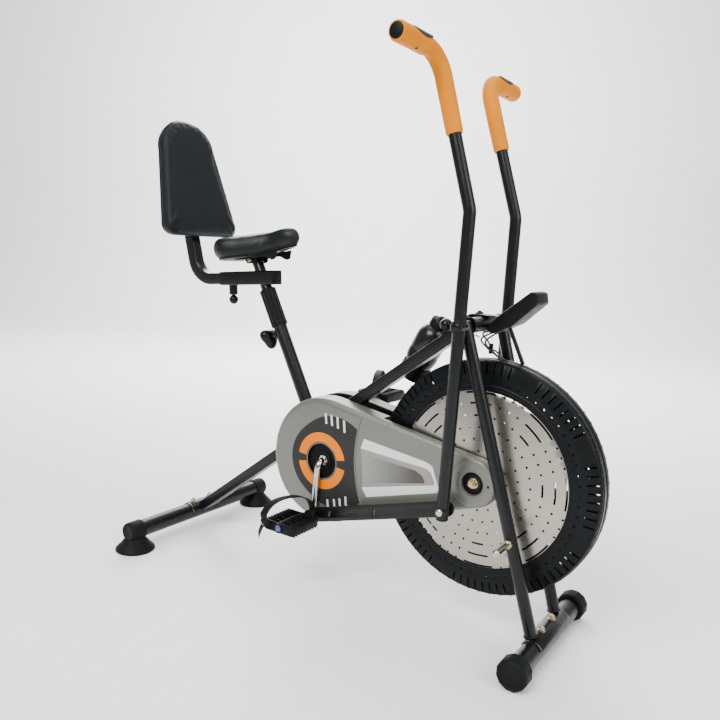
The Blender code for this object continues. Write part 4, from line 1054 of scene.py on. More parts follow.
# ---------------------------------------------------------------- saddle
SADDLE_LENGTH = 0.284
SADDLE_BEHIND = 0.120
SADDLE_TILT = radians(9)
SADDLE_AHEAD = Vector((cos(SADDLE_TILT), 0, sin(SADDLE_TILT)))
SADDLE_ABOVE = Vector((-sin(SADDLE_TILT), 0, cos(SADDLE_TILT)))


def saddle_half_width(share):
    """Half width of the saddle at a share of its length from the back."""
    widest, back = 0.104, 0.26
    if share < back:
        return widest * sqrt(max(0, 1 - ((share - back) / (back + 0.01)) ** 2))
    taper = 0.5 + 0.5 * cos(pi * min(1.0, (share - back) / 0.46))
    tip = max(0.0, (share - 0.86) / 0.14)
    return (0.034 - 0.006 * share) * sqrt(max(0, 1 - tip**2)) + (widest - 0.0325) * taper


def saddle_outline(inset):
    half = []
    for i in range(1, 48):
        share = 0.5 - 0.5 * cos(pi * i / 48)
        along = SADDLE_LENGTH * share - SADDLE_BEHIND
        squeeze = 1 - 2 * inset / SADDLE_LENGTH
        middle_along = SADDLE_LENGTH / 2 - SADDLE_BEHIND
        along = middle_along + (along - middle_along) * squeeze
        half.append((along, max(0.004, saddle_half_width(share) - inset)))
    return half + [(u, -v) for u, v in reversed(half)]


def nose_lift(along):
    share = (along + SADDLE_BEHIND) / SADDLE_LENGTH
    return 0.017 * max(0, (share - 0.42) / 0.58) ** 1.5


def saddle_crown(along, side):
    """How high the cushion's top stands: raised at the back and at the nose, lower where one sits."""
    share = (along + SADDLE_BEHIND) / SADDLE_LENGTH
    back = 0.012 * max(0, 1 - share / 0.5) ** 1.3
    tip = 0.020 * max(0, (share - 0.78) / 0.22) ** 2 + 0.010 * max(0, (0.10 - share) / 0.10) ** 2
    return 0.0650 + back + 1.2 * nose_lift(along) - tip - 0.9 * side**2


def on_saddle(u, v, w):
    return SADDLE_PIVOT + SADDLE_AHEAD * u + Y_AXIS * v + SADDLE_ABOVE * w


def make_saddle():
    def to_world(u, v, w):
        share = (w - 0.022) / (0.056 - 0.022)
        base = 0.0105 + nose_lift(u)
        return on_saddle(u, v, base + share * (saddle_crown(u, v) - base))

    cushion = padded_slab(
        "saddle_top", lambda inset: saddle_outline(inset + 0.003), 0.014, 0.022, 0.056,
        to_world, 9,
    )

    def held(point):
        along = (point - SADDLE_PIVOT).dot(SADDLE_AHEAD)
        return (point - SADDLE_PIVOT).dot(SADDLE_ABOVE) < 0.0150 + nose_lift(along)

    upholster(cushion, 0.0045, 5.0, 0.0040, held)
    show(cushion, "saddle_vinyl", "saddle", "saddle_cushion")
    tray = slab(
        "tray", saddle_outline(0.013), 0.0080, 0.0225, lambda u, v,
        w: on_saddle(u, v, w + nose_lift(u)),
    )
    soften(tray, 0.0035, 3, 50)
    lugs = []
    for side in SIDES.values():
        corners = [(-0.016, -0.0095), (0.016, -0.0095), (0.022, 0.016), (-0.022, 0.016)]
        lug = rounded_corners(corners, [0.009, 0.009, 0, 0])
        plate = slab("lug", lug, side * 0.0226, side * 0.0281, lambda u, v, w: on_saddle(u, w, v))
        lugs.append(soften(plate, 0.001, 2))
        outline = [(-0.085, 0.014), (0.105, 0.017), (0.098, -0.006), (0.085, -0.009)]
        outline += [(0.06, 0.004), (-0.03, 0.004), (-0.08, 0.009)]
        rib = slab("rib", outline, side * 0.030, side * 0.0325, lambda u, v, w: on_saddle(u, w, v))
        lugs.append(soften(rib, 0.0006, 2))
    show(join("saddle_base", [tray, *lugs]), "moulded_black", "saddle", "saddle_tray")
    edge = saddle_outline(0.0175)
    for i in range(2, len(edge), 4):
        (u0, v0), (u1, v1) = edge[i - 1], edge[i]
        heading = Vector((u1 - u0, v1 - v0))
        if heading.length < 0.0015:
            continue
        along = (SADDLE_AHEAD * heading.x + Y_AXIS * heading.y).normalized()
        inward = SADDLE_ABOVE.cross(along)
        staple_spot = on_saddle(u1, v1, 0.0078 + nose_lift(u1))
        staple_axes = (along, inward, SADDLE_ABOVE)
        staple = box("staple", staple_spot, (0.0075, 0.0008, 0.0009), staple_axes, 0.0003, 2)
        show(staple, "chain_steel", "saddle")
    base = SEAT_FOOT + SEAT_UP * 0.5033
    stem = bar("stem", base, SADDLE_PIVOT + SEAT_UP * 0.004, 0.0165, sides=40)
    head = bar("head", across(SADDLE_PIVOT, -0.022), across(SADDLE_PIVOT, 0.022), 0.009)
    show(join("clamp", [stem, head]), "satin_paint", "seat", "saddle_clamp")
    for side in SIDES.values():
        bolt = nut("clamp_bolt", across(SADDLE_PIVOT, side * 0.0285), Y_AXIS * side, 0.013, 0.006)
        show(bolt, "yellow_zinc", "seat")


# ---------------------------------------------------------------- fan cage
DISC_RADIUS = 0.213
RING_RADIUS = 0.2790
FAN_TURN = 3.5          # where the first group of openings stands, degrees up from straight ahead
GROUPS = [FAN_TURN + 45 * i for i in range(8)]
RIBS = 64


def disc_height(radius):
    """The dome of the silver disc, with a rolled edge."""
    share = min(1, radius / DISC_RADIUS)
    edge = max(0, (radius - (DISC_RADIUS - 0.004)) / 0.004)
    return 0.0508 - 0.0117 * share**1.6 - 0.0022 * edge**2


def ring_height(radius):
    """The black ring: a raised inner lip, then shallow steps, then it turns down to the rim."""
    steps = 0.0375 - 0.0042 * (radius - DISC_RADIUS) / (0.274 - DISC_RADIUS)
    ridge = 0.0010 * (cos((radius - 0.2175) / 0.0085 * 2 * pi) > 0.25) if radius < 0.248 else 0
    corner = max(0, (radius - 0.2715) / 0.0105)
    return steps + ridge - 0.0085 * corner**2


def disc_holes():
    holes = []
    for group in GROUPS:
        for radius, half in ((0.2085, 9.9), (0.183, 7.8), (0.1545, 5.0)):
            holes.append(arc_slot(radius, group, half, 0.0023))
        between = group + 22.5
        for radius, spacing in ((0.2090, 6.4), (0.1825, 7.35), (0.1545, 8.8)):
            for i in (-1, 0, 1):
                holes.append(dot(radius, between + i * spacing, 0.0029))
    for radius, count, start in ((0.127, 32, 26.2), (0.099, 24, 26.0), (0.071, 16, 26.0)):
        for i in range(count):
            holes.append(dot(radius, start + 360 * i / count, 0.0028))
    return holes


def ring_holes():
    holes = [dot(0.2355, FAN_TURN + 360 / RIBS * i, 0.0024, 8) for i in range(RIBS)]
    for group in GROUPS:
        for i in range(8):
            angle = radians(group + 4.15 * (i - 3.5))
            ray = Vector((cos(angle), sin(angle)))
            holes.append(straight_slot(ray * 0.2525, ray * 0.2775, 0.0020, 3))
    return holes


def make_fan_cover(name, side):
    def at_height(height):
        return lambda u, v: across(FAN + Vector((u, 0, v)), side * height(hypot(u, v)))

    out = Y_AXIS * side
    spare = [p for r in (0.045, 0.060, 0.0835, 0.113, 0.141, 0.169, 0.197) for p in circle(r, 72, 0.03)]
    spare += circle(0.2112, 144, 0.01)
    clear = []
    for hole in disc_holes():
        centre = sum((Vector(p) for p in hole), Vector((0, 0))) / len(hole)
        clear.append((centre, max((Vector(p) - centre).length for p in hole) + 0.001))
    spare = [p for p in spare if all((Vector(p) - c).length > r for c, r in clear)]
    holes = [circle(0.030, 48), *disc_holes()]
    disc = perforated("disc", circle(DISC_RADIUS, 144), holes, spare, at_height(disc_height), out)
    show(disc, "sheet_silver", "frame", f"fan_cover_{name}")
    # Painted shade: the disc's inner faces and rims take the black cage finish, so the inside of the cage
    # shows dark through the holes.
    disc.data.materials.append(MATERIALS["cage_black"][0])
    painted_shade_wall = disc.modifiers.new("wall", "SOLIDIFY")
    painted_shade_wall.thickness = 0.0016
    painted_shade_wall.offset = -1
    painted_shade_wall.material_offset = 1
    painted_shade_wall.material_offset_rim = 1
    smooth(settle(disc), 40)

    bands = [0.2175, 0.2190, 0.2215, 0.2230, 0.2265, 0.2280, 0.2305, 0.2405, 0.2440, 0.2485, 0.2500]
    spare = [p for r in bands for p in circle(r, 180, 0.013)]
    ring = perforated(
        "ring", circle(RING_RADIUS, 256), [circle(DISC_RADIUS - 0.0015, 144), *ring_holes()],
        spare, at_height(ring_height), out,
    )
    thicken(ring, 0.0020)
    show(smooth(ring, 40), "cage_black", "frame", f"fan_cover_{name}")
    make_rim(name, out)


def make_rim(name, out):
    profile = [(0.2785, ring_height(0.2785)), (0.2806, 0.0263), (0.2818, 0.0240), (0.2818, 0.0180)]
    profile += [(0.2834, 0.0172), (0.2834, 0.0052), (0.2818, 0.0044), (0.2818, 0.0005)]
    profile += [(0.2795, 0.0005), (0.2795, 0.0240), (0.2775, 0.0262)]
    rim = lathe("rim", profile, FAN, out, 192, closed=True)
    ribs = []
    for i in range(RIBS):
        angle = 2 * pi * (i + 0.5) / RIBS
        ray = Vector((cos(angle), 0, sin(angle)))
        along = Vector((-sin(angle), 0, cos(angle)))
        centre = FAN + ray * 0.2810 + out * 0.0215
        ribs.append(box("rib", centre, (0.0044, 0.0084, 0.0034), (ray, out, along), 0.0010, 2))
    show(join(f"cage_rim_{name}", [rim, *ribs]), "cage_black", "frame", f"fan_cover_{name}")


# ---------------------------------------------------------------- chain case and its markings
CASE_RADIUS = 0.168
CASE_NOSE = 0.059
CASE_FACE = 0.0780
NOSE_FACE = 0.0755
STEP_RADIUS = 0.330
TO_FAN = (FAN.x - CRANK.x, FAN.z - CRANK.z)


def case_shell(name, side, levels):
    """The case's outline at several heights, each drawn in by its own inset."""
    rings = []
    for height, inset in levels:
        outline = teardrop(CASE_RADIUS - inset, CASE_NOSE - inset, 72)
        rings.append([across(CRANK + Vector((u, 0, v)), side * height) for u, v in outline])
    return loft(name, rings)


def make_chain_case(name, side):
    out = Y_AXIS * side
    edge = [(0.022, 0), (0.0225, 0), (0.064, 0)]
    for i in range(1, 9):
        angle = pi / 16 * i
        edge.append((0.064 + 0.014 * sin(angle), 0.016 * (1 - cos(angle))))
    case = case_shell("case", side, edge)
    inner = case_shell("inner", side, [(0.010, 0.0028), (0.064, 0.0028), (0.0700, 0.0060), (0.0742, 0.0160)])
    lap = bar("lap", FAN - out * 0.1, FAN + out * 0.0535, 0.2862, sides=128)
    hub = bar("hub", CRANK, CRANK + out * 0.1, 0.047, sides=72)
    axle = bar("axle", FAN, FAN + out * 0.1, 0.0272, sides=64)
    profile = [(0.001, NOSE_FACE), (STEP_RADIUS, NOSE_FACE), (STEP_RADIUS + 0.0018, CASE_FACE + 0.0005)]
    profile += [(STEP_RADIUS + 0.0018, 0.1), (0.001, 0.1)]
    step = lathe("step", profile, FAN, out, 256)
    carve(case, inner, lap, hub, axle, step)
    smooth(case, 32)
    show(case, "case_silver", "frame", f"chain_case_{name}")
    make_markings(side)
    make_hub_well(side)
    make_hub_cover(name, side)


def marking(name, outline, side, material, face, raised=0.0003, hole=0):
    """A thin printed sheet on the case's face, with a hole round the crank if one is asked for."""
    low, high = sorted((side * (face - 0.0006), side * (face + raised)))
    sheet = slab(name, outline, low, high, plan(CRANK))
    if hole:
        carve(sheet, bar("hole", across(CRANK, low - 0.01), across(CRANK, high + 0.01), hole, sides=96))
    show(smooth(sheet), material, "frame")


def make_markings(side):
    ridge = STEP_RADIUS + 0.0035
    body = []
    for i in range(73):
        angle = radians(43.8 + (327.3 - 43.8) * i / 72)
        ahead = 0.040 * cos(angle) + 0.003 * sin(angle)
        far = ahead + sqrt(ahead**2 + 0.124**2 - 0.040**2 - 0.003**2)
        radius = 0.004 * log(exp(0.100 / 0.004) + exp(far / 0.004))
        body.append((radius * cos(angle), radius * sin(angle)))
    body += arc(TO_FAN, ridge, 201.6, 168.7, 32)[1:-1]
    marking("print_body", body, side, "print_grey", CASE_FACE, 0.0002, hole=0.0485)
    for start in (12, 191):
        half = arc((0, 0), 0.0765, start, start + 161, 48) + arc((0, 0), 0.051, start + 161, start, 48)
        marking("print_ring", half, side, "print_orange", CASE_FACE, 0.0004)
    upper = [(0.0085, 0.103, 0.131), (0.0275, 0.101, 0.1295), (0.047, 0.097, 0.127), (0.068, 0.090, 0.122)]
    lower = [
        (0.022, -0.101, -0.122), (0.0435, -0.095, -0.117), (0.0615, -0.089, -0.112),
        (0.080, -0.079, -0.105),
    ]
    for x, near, far in upper + lower:
        lean = 0.0035 if near > 0 else -0.0035
        stripe = [(x, near), (x + 0.006, near), (x + 0.006 - lean, far), (x - lean, far)]
        marking("print_bar", stripe, side, "print_white", CASE_FACE, 0.0005)
    band = rounded_corners(
        [(0.131, 0.085), (0.313, 0.063), (0.3300, 0.0565), (0.352, 0.002), (0.346, -0.006), (0.147, -0.065),
         (0.131, -0.043), (0.337, 0.0105), (0.339, 0.018), (0.327, 0.040), (0.314, 0.047), (0.122, 0.059)],
        [0, 0.010, 0.012, 0.006, 0.008, 0, 0, 0, 0.004, 0.010, 0.006, 0],
    )
    backing = [(0.122, 0.0590), (0.314, 0.0470), (0.327, 0.040), (0.339, 0.018), (0.337, 0.0105)]
    backing += [(0.3200, 0.0055), (0.133, -0.043), (0.1300, 0.0)]
    marking("print_backing", backing, side, "print_taupe", NOSE_FACE, 0.0002)
    marking("print_band", band, side, "print_white", NOSE_FACE, 0.0004)
    panel = rounded_corners(
        [
            (0.131, 0.045), (0.284, 0.036), (0.304, 0.027), (0.313, 0.013), (0.309, 0.009),
            (0.139, -0.029), (0.129, 0.004),
        ],
        [0.002, 0.008, 0.008, 0.004, 0.003, 0.003, 0.02],
    )
    marking("print_panel", panel, side, "print_panel", NOSE_FACE, 0.0005)


def make_hub_well(side):
    """Dark dished cover round the crank, with a pale ring at its edge and a bearing ring in it."""
    out = Y_AXIS * side
    dish = [
        (0.0470, 0.0780), (0.0448, 0.0776), (0.0436, 0.0700), (0.0400, 0.0678), (0.0255, 0.0672),
        (0.0250, 0.0695), (0.0165, 0.0700), (0.0160, 0.0685), (0.0098, 0.0682), (0.0098, 0.0660),
        (0.0465, 0.0662),
    ]
    well = lathe("well", dish, CRANK, out, 72, closed=True)
    show(well, "lining", "frame")
    pale = [
        (0.0494, 0.0778), (0.0494, 0.0783), (0.0488, 0.0787), (0.0476, 0.0787),
        (0.0468, 0.0783), (0.0468, 0.0770),
    ]
    show(lathe("well_ring", pale, CRANK, out, 96, closed=True), "case_silver", "frame")


def make_hub_cover(name, side):
    out = Y_AXIS * side
    base = across(FAN, side * 0.0783)
    profile = [(0.0565, -0.0030), (0.0565, 0.0016), (0.0552, 0.0030), (0.0530, 0.0034), (0.0300, 0.0037)]
    profile += [(0.0280, 0.0030), (0.0268, 0.0004), (0.0262, -0.0030)]
    disc = lathe("hub_disc", profile, base, out, 96, closed=True)
    show(disc, "case_silver", "frame", f"hub_cover_{name}")
    profile = [(0.0270, 0.0005), (0.0263, -0.0050), (0.0110, -0.0055), (0.0110, -0.0075), (0.0268, -0.0070)]
    well = lathe("hub_well", profile, base, out, 48, closed=True)
    show(well, "lining", "frame")
    screw = base + Vector((0.0410, 0, 0.002)) + out * 0.0034
    show(dome("hub_screw", screw, out, 0.0034, 0.0016, 24), "gloss_black", "frame")
    profile = [(0.0070, 0), (0.0125, 0), (0.0128, 0.0008), (0.0125, 0.0016), (0.0070, 0.0016)]
    washer = lathe("axle_washer", profile, across(FAN, side * 0.0725), out, 40, closed=True)
    show(washer, "yellow_zinc", "frame")
    show(nut("axle_nut", across(FAN, side * 0.0742), out, 0.0170, 0.0085), "yellow_zinc", "frame")


# ---------------------------------------------------------------- crank, pedals and links
CRANK_Y = 0.090
PEDAL_Y = 0.1815


def make_crank():
    corners = [across(PIN["right"], -CRANK_Y), across(CRANK, -CRANK_Y)]
    corners += [across(CRANK, CRANK_Y), across(PIN["left"], CRANK_Y)]
    path = rounded_path(corners, 0.020, 14)
    rod = smooth(sweep("crank_bar", path, circle(0.0086, 32)))
    pieces = [rod]
    for name, side in SIDES.items():
        pin = PIN[name]
        out = Y_AXIS * side
        eye = [(0.0130, 0), (0.0146, 0.0016), (0.0146, 0.0144), (0.0130, 0.016)]
        pieces.append(lathe("eye", eye, across(pin, side * 0.082), out, 40))
        pieces.append(bar("collar", across(pin, side * 0.0975), across(pin, side * 0.1077), 0.0100, sides=32))
        pieces.append(bar("spindle", across(pin, side * 0.100), across(pin, side * 0.232), 0.0061, sides=32))
        foot = across(CRANK, side * 0.0660)
        ring = [(0.0092, 0.0), (0.0150, 0.0), (0.0150, 0.0048), (0.0135, 0.0062), (0.0092, 0.0062)]
        pieces.append(lathe("lock_ring", ring, foot, out, 6))
    show(join("crank_whole", pieces), "chrome", "crank", "crank")


def make_pedal(name, side):
    """Pedal body: two ribbed treads on a core, with a bearing tube and a coloured end cap."""
    pin = across(PIN[name], 0)
    centre = across(pin, side * PEDAL_Y)
    out = Y_AXIS * side
    pieces = [bar("core", centre - out * 0.0505, centre + out * 0.0475, 0.0135, sides=40)]
    for ahead in (-1, 1):
        tread = centre + Vector((ahead * 0.041, 0, 0))
        pieces.append(box("tread", tread, (0.0200, 0.098, 0.0225), None, 0.0035))
        for row in range(9):
            for up in (-1, 1):
                spot = tread + Vector((0, (row - 4) * 0.0108, up * 0.0120))
                pieces.append(box("stud", spot, (0.0170, 0.0046, 0.0044), None, 0.0011, 2))
    for end in (-1, 1):
        plate = centre + out * (end * 0.0468)
        pieces.append(box("end", plate, (0.088, 0.0070, 0.0265), None, 0.0030))
    for ahead in (-0.024, 0.024):
        for y in (-0.022, 0.0, 0.022):
            spot = centre + Vector((ahead, y, 0))
            pieces.append(box("web", spot, (0.026, 0.0034, 0.0170), None, 0.0008, 2))
    show(join(f"pedal_body_{name}", pieces), "moulded_black", f"pedal_{name}", f"pedal_{name}")
    cap = across(pin, side * (PEDAL_Y + 0.0502))
    profile = [(0.0128, 0), (0.0125, 0.0022), (0.0100, 0.0028), (0.0092, 0.0020), (0.0092, 0)]
    rim = lathe("cap_rim", profile, cap, out, 40, closed=True)
    show(rim, "gloss_black", f"pedal_{name}")
    show(dome(f"cap_face_{name}", cap, out, 0.0094, 0.0034, 32), "cap_blue", f"pedal_{name}")
    make_strap(name, side, centre)


def make_strap(name, side, centre):
    """Strap over the foot: an arch across the pedal, sheared along it, with a perforated tail."""
    half_span, rise = 0.0655, 0.0540
    ahead = centre.x - 0.010
    skew = -side * 0.028 / half_span
    spring = centre.z + 0.0130
    arch = []
    for i in range(41):
        angle = pi * i / 40
        shape = (abs(cos(angle)) ** 0.85 * (1 if angle < pi / 2 else -1), sin(angle) ** 0.85)
        y = centre.y - side * shape[0] * half_span
        arch.append(Vector((ahead, y, spring + rise * shape[1])))
    inner_end = [Vector((ahead, centre.y - side * 0.0560, centre.z + 0.002))]
    outer_end = [Vector((ahead, centre.y + side * 0.0560, centre.z + 0.002))]
    path = curve_through(inner_end + arch[1:-1:3] + outer_end, 5)
    band = smooth(sweep("band", path, rounded_box(0.0011, 0.0108, 0.0009, 2), Z_AXIS), 60)
    band.data.transform(Matrix(((1, skew, 0, -skew * centre.y), (0, 1, 0, 0), (0, 0, 1, 0), (0, 0, 0, 1))))
    ahead = centre.x - 0.036
    tail = [
        Vector((ahead - 0.002, centre.y + side * 0.0585, centre.z + 0.010)),
        Vector((ahead - 0.006, centre.y + side * 0.0650, centre.z - 0.002)),
        Vector((ahead - 0.012, centre.y + side * 0.0655, centre.z - 0.016)),
        Vector((ahead - 0.020, centre.y + side * 0.0600, centre.z - 0.028)),
    ]
    strip = rounded_box(0.0011, 0.0095, 0.0009, 2)
    flap = smooth(sweep("flap", curve_through(tail, 6), strip, Z_AXIS), 60)
    holes = []
    for i in range(3):
        spot = tail[i].lerp(tail[i + 1], 0.6)
        holes.append(box("slot", spot, (0.0075, 0.012, 0.0028), None, 0.0008, 2))
    carve(flap, *holes)
    buckle_spot = Vector((ahead, centre.y + side * 0.0612, centre.z + 0.012))
    buckle = box("buckle", buckle_spot, (0.0250, 0.0048, 0.0090), None, 0.0015)
    keeper_spot = Vector((centre.x + 0.017, centre.y - side * 0.0590, centre.z + 0.006))
    keeper = box("keeper", keeper_spot, (0.0250, 0.0050, 0.0100), None, 0.0015)
    pieces = [band, smooth(flap, 40), buckle, keeper]
    show(join(f"strap_{name}", pieces), "rubber", f"pedal_{name}", f"pedal_strap_{name}")


def make_link(name, side):
    """Flat link bar with two slanted slots, a hole and the arm's bolt through its front end."""
    pin, bolt = PIN[name], BOLT[name]
    reach = (bolt - pin).length
    along = (bolt - pin).normalized()
    above = Vector((-along.z, 0, along.x))
    half = 0.019

    def to_world(u, v, w):
        return across(pin + along * u + above * v, w)

    outline = arc((0, 0), 0.013, 90, 270, 20) + [(0.030, -half)]
    outline += arc((reach, 0), half, -90, 90, 20) + [(0.030, half)]
    bar_y = sorted((side * 0.108, side * 0.1135))
    plate = slab("link", outline, *bar_y, to_world)
    cutters = []
    for start in (0.070, 0.212):
        slot = straight_slot((start, -0.0065), (start + 0.007, 0.0065), 0.0028, 6)
        cutters.append(slab("slot", slot, -0.2, 0.2, to_world))
    for centre, radius in ((0.0, 0.0066), (0.146, 0.0034), (reach, 0.0070)):
        ring = [(centre + u, v) for u, v in circle(radius, 28)]
        cutters.append(slab("hole", ring, -0.2, 0.2, to_world))
    carve(plate, *cutters)
    show(soften(plate, 0.0010, 3, 30), "powder_coat", f"link_{name}", f"link_bar_{name}")
    out = Y_AXIS * side
    profile = [(0.0070, 0), (0.0125, 0), (0.0125, 0.0014), (0.0070, 0.0014)]
    washer = lathe("pin_washer", profile, across(pin, side * 0.1137), out, 40, closed=True)
    show(washer, "chrome", f"link_{name}")


# ---------------------------------------------------------------- arms
def arm_path(name):
    side = SIDES[name]
    pivot = across(PIVOT, side * ARM_Y)
    lower = (PIVOT - BOLT[name]).normalized()
    upper = Matrix.Rotation(radians(-18.05), 3, "Y") @ lower
    knee = pivot + lower * 0.251
    corner = knee + upper * 0.346
    return lower, upper, pivot - lower * 0.445, knee, corner, corner + Y_AXIS * (side * 0.172)


def make_arm(name, side):
    lower, _, foot, knee, corner, outer = arm_path(name)
    out = Y_AXIS * side
    path = rounded_path([foot, knee, corner, outer - out * 0.01], 0.055, 16)
    tube = smooth(sweep("arm_tube", path, circle(TUBE_RADIUS, 48)))
    profile = [(0.0122, 0.0), (0.0138, -0.0008), (0.0146, 0.0008), (0.0146, 0.003), (0.0120, 0.0035)]
    end = lathe("end_plug", profile, foot - lower * 0.0006, lower, 40)
    show(end, "moulded_black", f"arm_{name}")
    bolt = across(BOLT[name], 0)
    low_ends = across(bolt, side * 0.1142), across(bolt, side * 0.1465)
    high_ends = across(PIVOT, side * 0.1148), across(PIVOT, side * 0.1462)
    bosses = [
        bar("bolt_boss", *low_ends, 0.012, sides=48, chamfer=0.0012),
        bar("pivot_boss", *high_ends, 0.0152, sides=56, chamfer=0.0022),
    ]
    show(join(f"arm_whole_{name}", [tube, *bosses]), "powder_coat", f"arm_{name}", f"arm_{name}")
    profile = [(0.0050, 0), (0.0088, 0), (0.0088, 0.0016), (0.0074, 0.0040), (0.0042, 0.0054)]
    profile += [(0.0036, 0.0040), (0, 0.0038)]
    head = lathe("bolt_head", profile, across(bolt, side * 0.1467), out, 40)
    shank = bar("shank", across(bolt, side * 0.1145), across(bolt, side * 0.1475), 0.005, sides=24)
    show(join(f"arm_bolt_whole_{name}", [head, shank]), "chrome", f"arm_{name}", f"arm_bolt_{name}")
    make_grip(name, side, knee, corner, outer)
    make_pivot_nuts(side)


def make_grip(name, side, knee, corner, outer):
    """Soft grip from the arm's upper half round to the hand hold, with a pad and an end plug."""
    out = Y_AXIS * side
    start = knee + (corner - knee).normalized() * 0.166
    bend = rounded_path([start, corner, outer - out * 0.0005], 0.055, 18)
    fine = []
    for first, second in zip(bend, bend[1:]):
        count = max(1, round((second - first).length / 0.006))
        fine += [first.lerp(second, i / count) for i in range(count)]
    path = fine + [bend[-1]]
    total = sum((b - a).length for a, b in zip(path, path[1:]))
    hand = 0.118 / total

    def width(share):
        ends = min(1, share * total / 0.003, (1 - share) * total / 0.004)
        rise = min(1, max(0, (share - (1 - hand)) * total / 0.012))
        swell = sin(pi * min(1, max(0, (share - 0.06) / 0.72)))
        step = rise * rise * (3 - 2 * rise)
        rounding = 0.9 + 0.1 * sqrt(max(0, ends))
        return (0.0190 + 0.0006 * swell + 0.0024 * step) * rounding

    steps = [0.0]
    for a, b in zip(path, path[1:]):
        steps.append(steps[-1] + (b - a).length / total)

    def by_index(share):
        return width(steps[round(share * (len(path) - 1))])

    grip = smooth(sweep("grip_foam", path, circle(1, 48), scale=by_index), 50)
    show(grip, "orange_grip", f"arm_{name}", f"grip_{name}")
    plug = [(0.0164, -0.003), (0.0164, 0.0006), (0.0156, 0.0016), (0.0140, 0.0021), (0, 0.0026)]
    show(lathe("grip_plug", plug, outer - out * 0.0005, out, 48), "moulded_black", f"arm_{name}")
    make_grip_pad(name, side, corner, out)


def make_grip_pad(name, side, corner, out):
    """Lens-shaped touch pad let into the top of the hand hold."""
    upper = arm_path(name)[1]
    ahead = upper.cross(out) * side
    centre = corner + out * 0.088
    form = bmesh.new()
    rows = []
    for i in range(19):
        along = -1 + 2 * i / 18
        spread = radians(38) * sqrt(max(0.0004, 1 - along**2))
        row = []
        for j in range(13):
            turn = radians(52) + spread * (-1 + 2 * j / 12)
            ray = upper * cos(turn) - ahead * sin(turn)
            row.append(form.verts.new(centre + out * (along * 0.036) + ray * 0.0230))
        rows.append(row)
    for row, following in zip(rows, rows[1:]):
        for j in range(12):
            form.faces.new((row[j], row[j + 1], following[j + 1], following[j]))
    pad = closed_object(form, "grip_pad_sheet")
    thicken(pad, 0.0012)
    show(smooth(pad, 50), "grip_pad", f"arm_{name}")
    toward = (-ahead * 0.12 - upper * 0.99).normalized()
    spot = corner + out * 0.108
    vent = ball("grip_vent", spot + toward * 0.0200, 0.0030, toward, 20)
    stretch = Matrix.Scale(1.6, 4, out)
    vent.data.transform(Matrix.Translation(spot) @ stretch @ Matrix.Translation(-spot))
    show(vent, "lining", f"arm_{name}")


def make_pivot_nuts(side):
    out = Y_AXIS * side
    spot = across(PIVOT, side * 0.1462)
    cap = [(0.0086, -0.0040), (0.0086, 0.0004), (0.0076, 0.0012), (0, 0.0014)]
    show(lathe("pivot_cap", cap, spot, out, 48), "powder_coat", "frame", "pivot_axle")
    inner = bar("pivot_rod", across(PIVOT, side * 0.070), across(PIVOT, side * 0.1440), 0.0080)
    spacer = bar("pivot_spacer", across(PIVOT, side * 0.1122), across(PIVOT, side * 0.1146), 0.0140)
    show(join("pivot_fittings", [inner, spacer]), "yellow_zinc", "frame", "pivot_axle")


# ---------------------------------------------------------------- console, wires and bottle
CONSOLE_FOOT = Vector((FRONT_FOOT.x - 0.197, 0, 0.738))
CONSOLE_SLOPE = radians(39)
CONSOLE_ALONG = Vector((cos(CONSOLE_SLOPE), 0, sin(CONSOLE_SLOPE)))
CONSOLE_ABOVE = Vector((-sin(CONSOLE_SLOPE), 0, cos(CONSOLE_SLOPE)))


def console_point(along, above, y=0.0):
    return CONSOLE_FOOT + CONSOLE_ALONG * along + CONSOLE_ABOVE * above + Y_AXIS * y


def make_console():
    shape = rounded_corners(
        [
            (0.0, 0.0), (0.006, -0.020), (0.060, -0.032), (0.134, -0.026), (0.146, -0.005),
            (0.138, 0.006), (0.030, 0.004),
        ],
        [0.004, 0.006, 0.02, 0.010, 0.006, 0.008, 0.02],
    )
    shell = slab("shell", shape, -0.036, 0.036, console_point)
    show(soften(shell, 0.0055, 4, 40), "moulded_black", "frame", "console")
    axes = (CONSOLE_ALONG, Y_AXIS, CONSOLE_ABOVE)
    bezel = box("console_bezel", console_point(0.076, 0.0056), (0.092, 0.058, 0.0022), axes, 0.0010)
    show(bezel, "gloss_black", "frame")
    screen = box("screen", console_point(0.080, 0.0066), (0.058, 0.046, 0.0012), axes, 0.0005)
    show(screen, "screen_grey", "frame")
    for y in (-0.018, 0, 0.018):
        key = box("key", console_point(0.040, 0.0064, y), (0.010, 0.0125, 0.0030), axes, 0.0013)
        show(key, "rubber", "frame")
    heights = ((0.020, 0.0020), (0.034, 0.0036), (0.048, 0.0044), (0.062, 0.0050))
    accent = [console_point(along, height, -0.0335) for along, height in heights]
    show(smooth(sweep("accent", curve_through(accent, 4), circle(0.0010, 10))), "accent_red", "frame")


def make_bracket():
    start = beam_point(PIVOT.x - 0.090) + BEAM_ABOVE * 0.0168
    level = 0.7655
    rise = start + BEAM_AHEAD * ((level - start.z) / BEAM_AHEAD.z)
    bend = Vector((PIVOT.x + 0.048, 0, level))
    path = rounded_path([start, rise, bend, console_point(0.115, -0.014)], 0.012, 8)
    strap = smooth(sweep("strap", path, rounded_box(0.020, 0.0015, 0.0012, 3)), 40)
    top = Vector((PIVOT.x + 0.046, 0.013, 0.766))
    strut = bar("strut", top, FAN + Vector((0.0625, 0.013, 0.2765)), 0.005, sides=24)
    show(join("bracket", [strap, strut]), "powder_coat", "frame", "console_bracket")
    for ahead in (0.018, 0.062):
        spot = start + BEAM_AHEAD * ahead + BEAM_ABOVE * 0.0015
        show(nut("bracket_bolt", spot, BEAM_ABOVE, 0.010, 0.0045), "yellow_zinc", "frame")


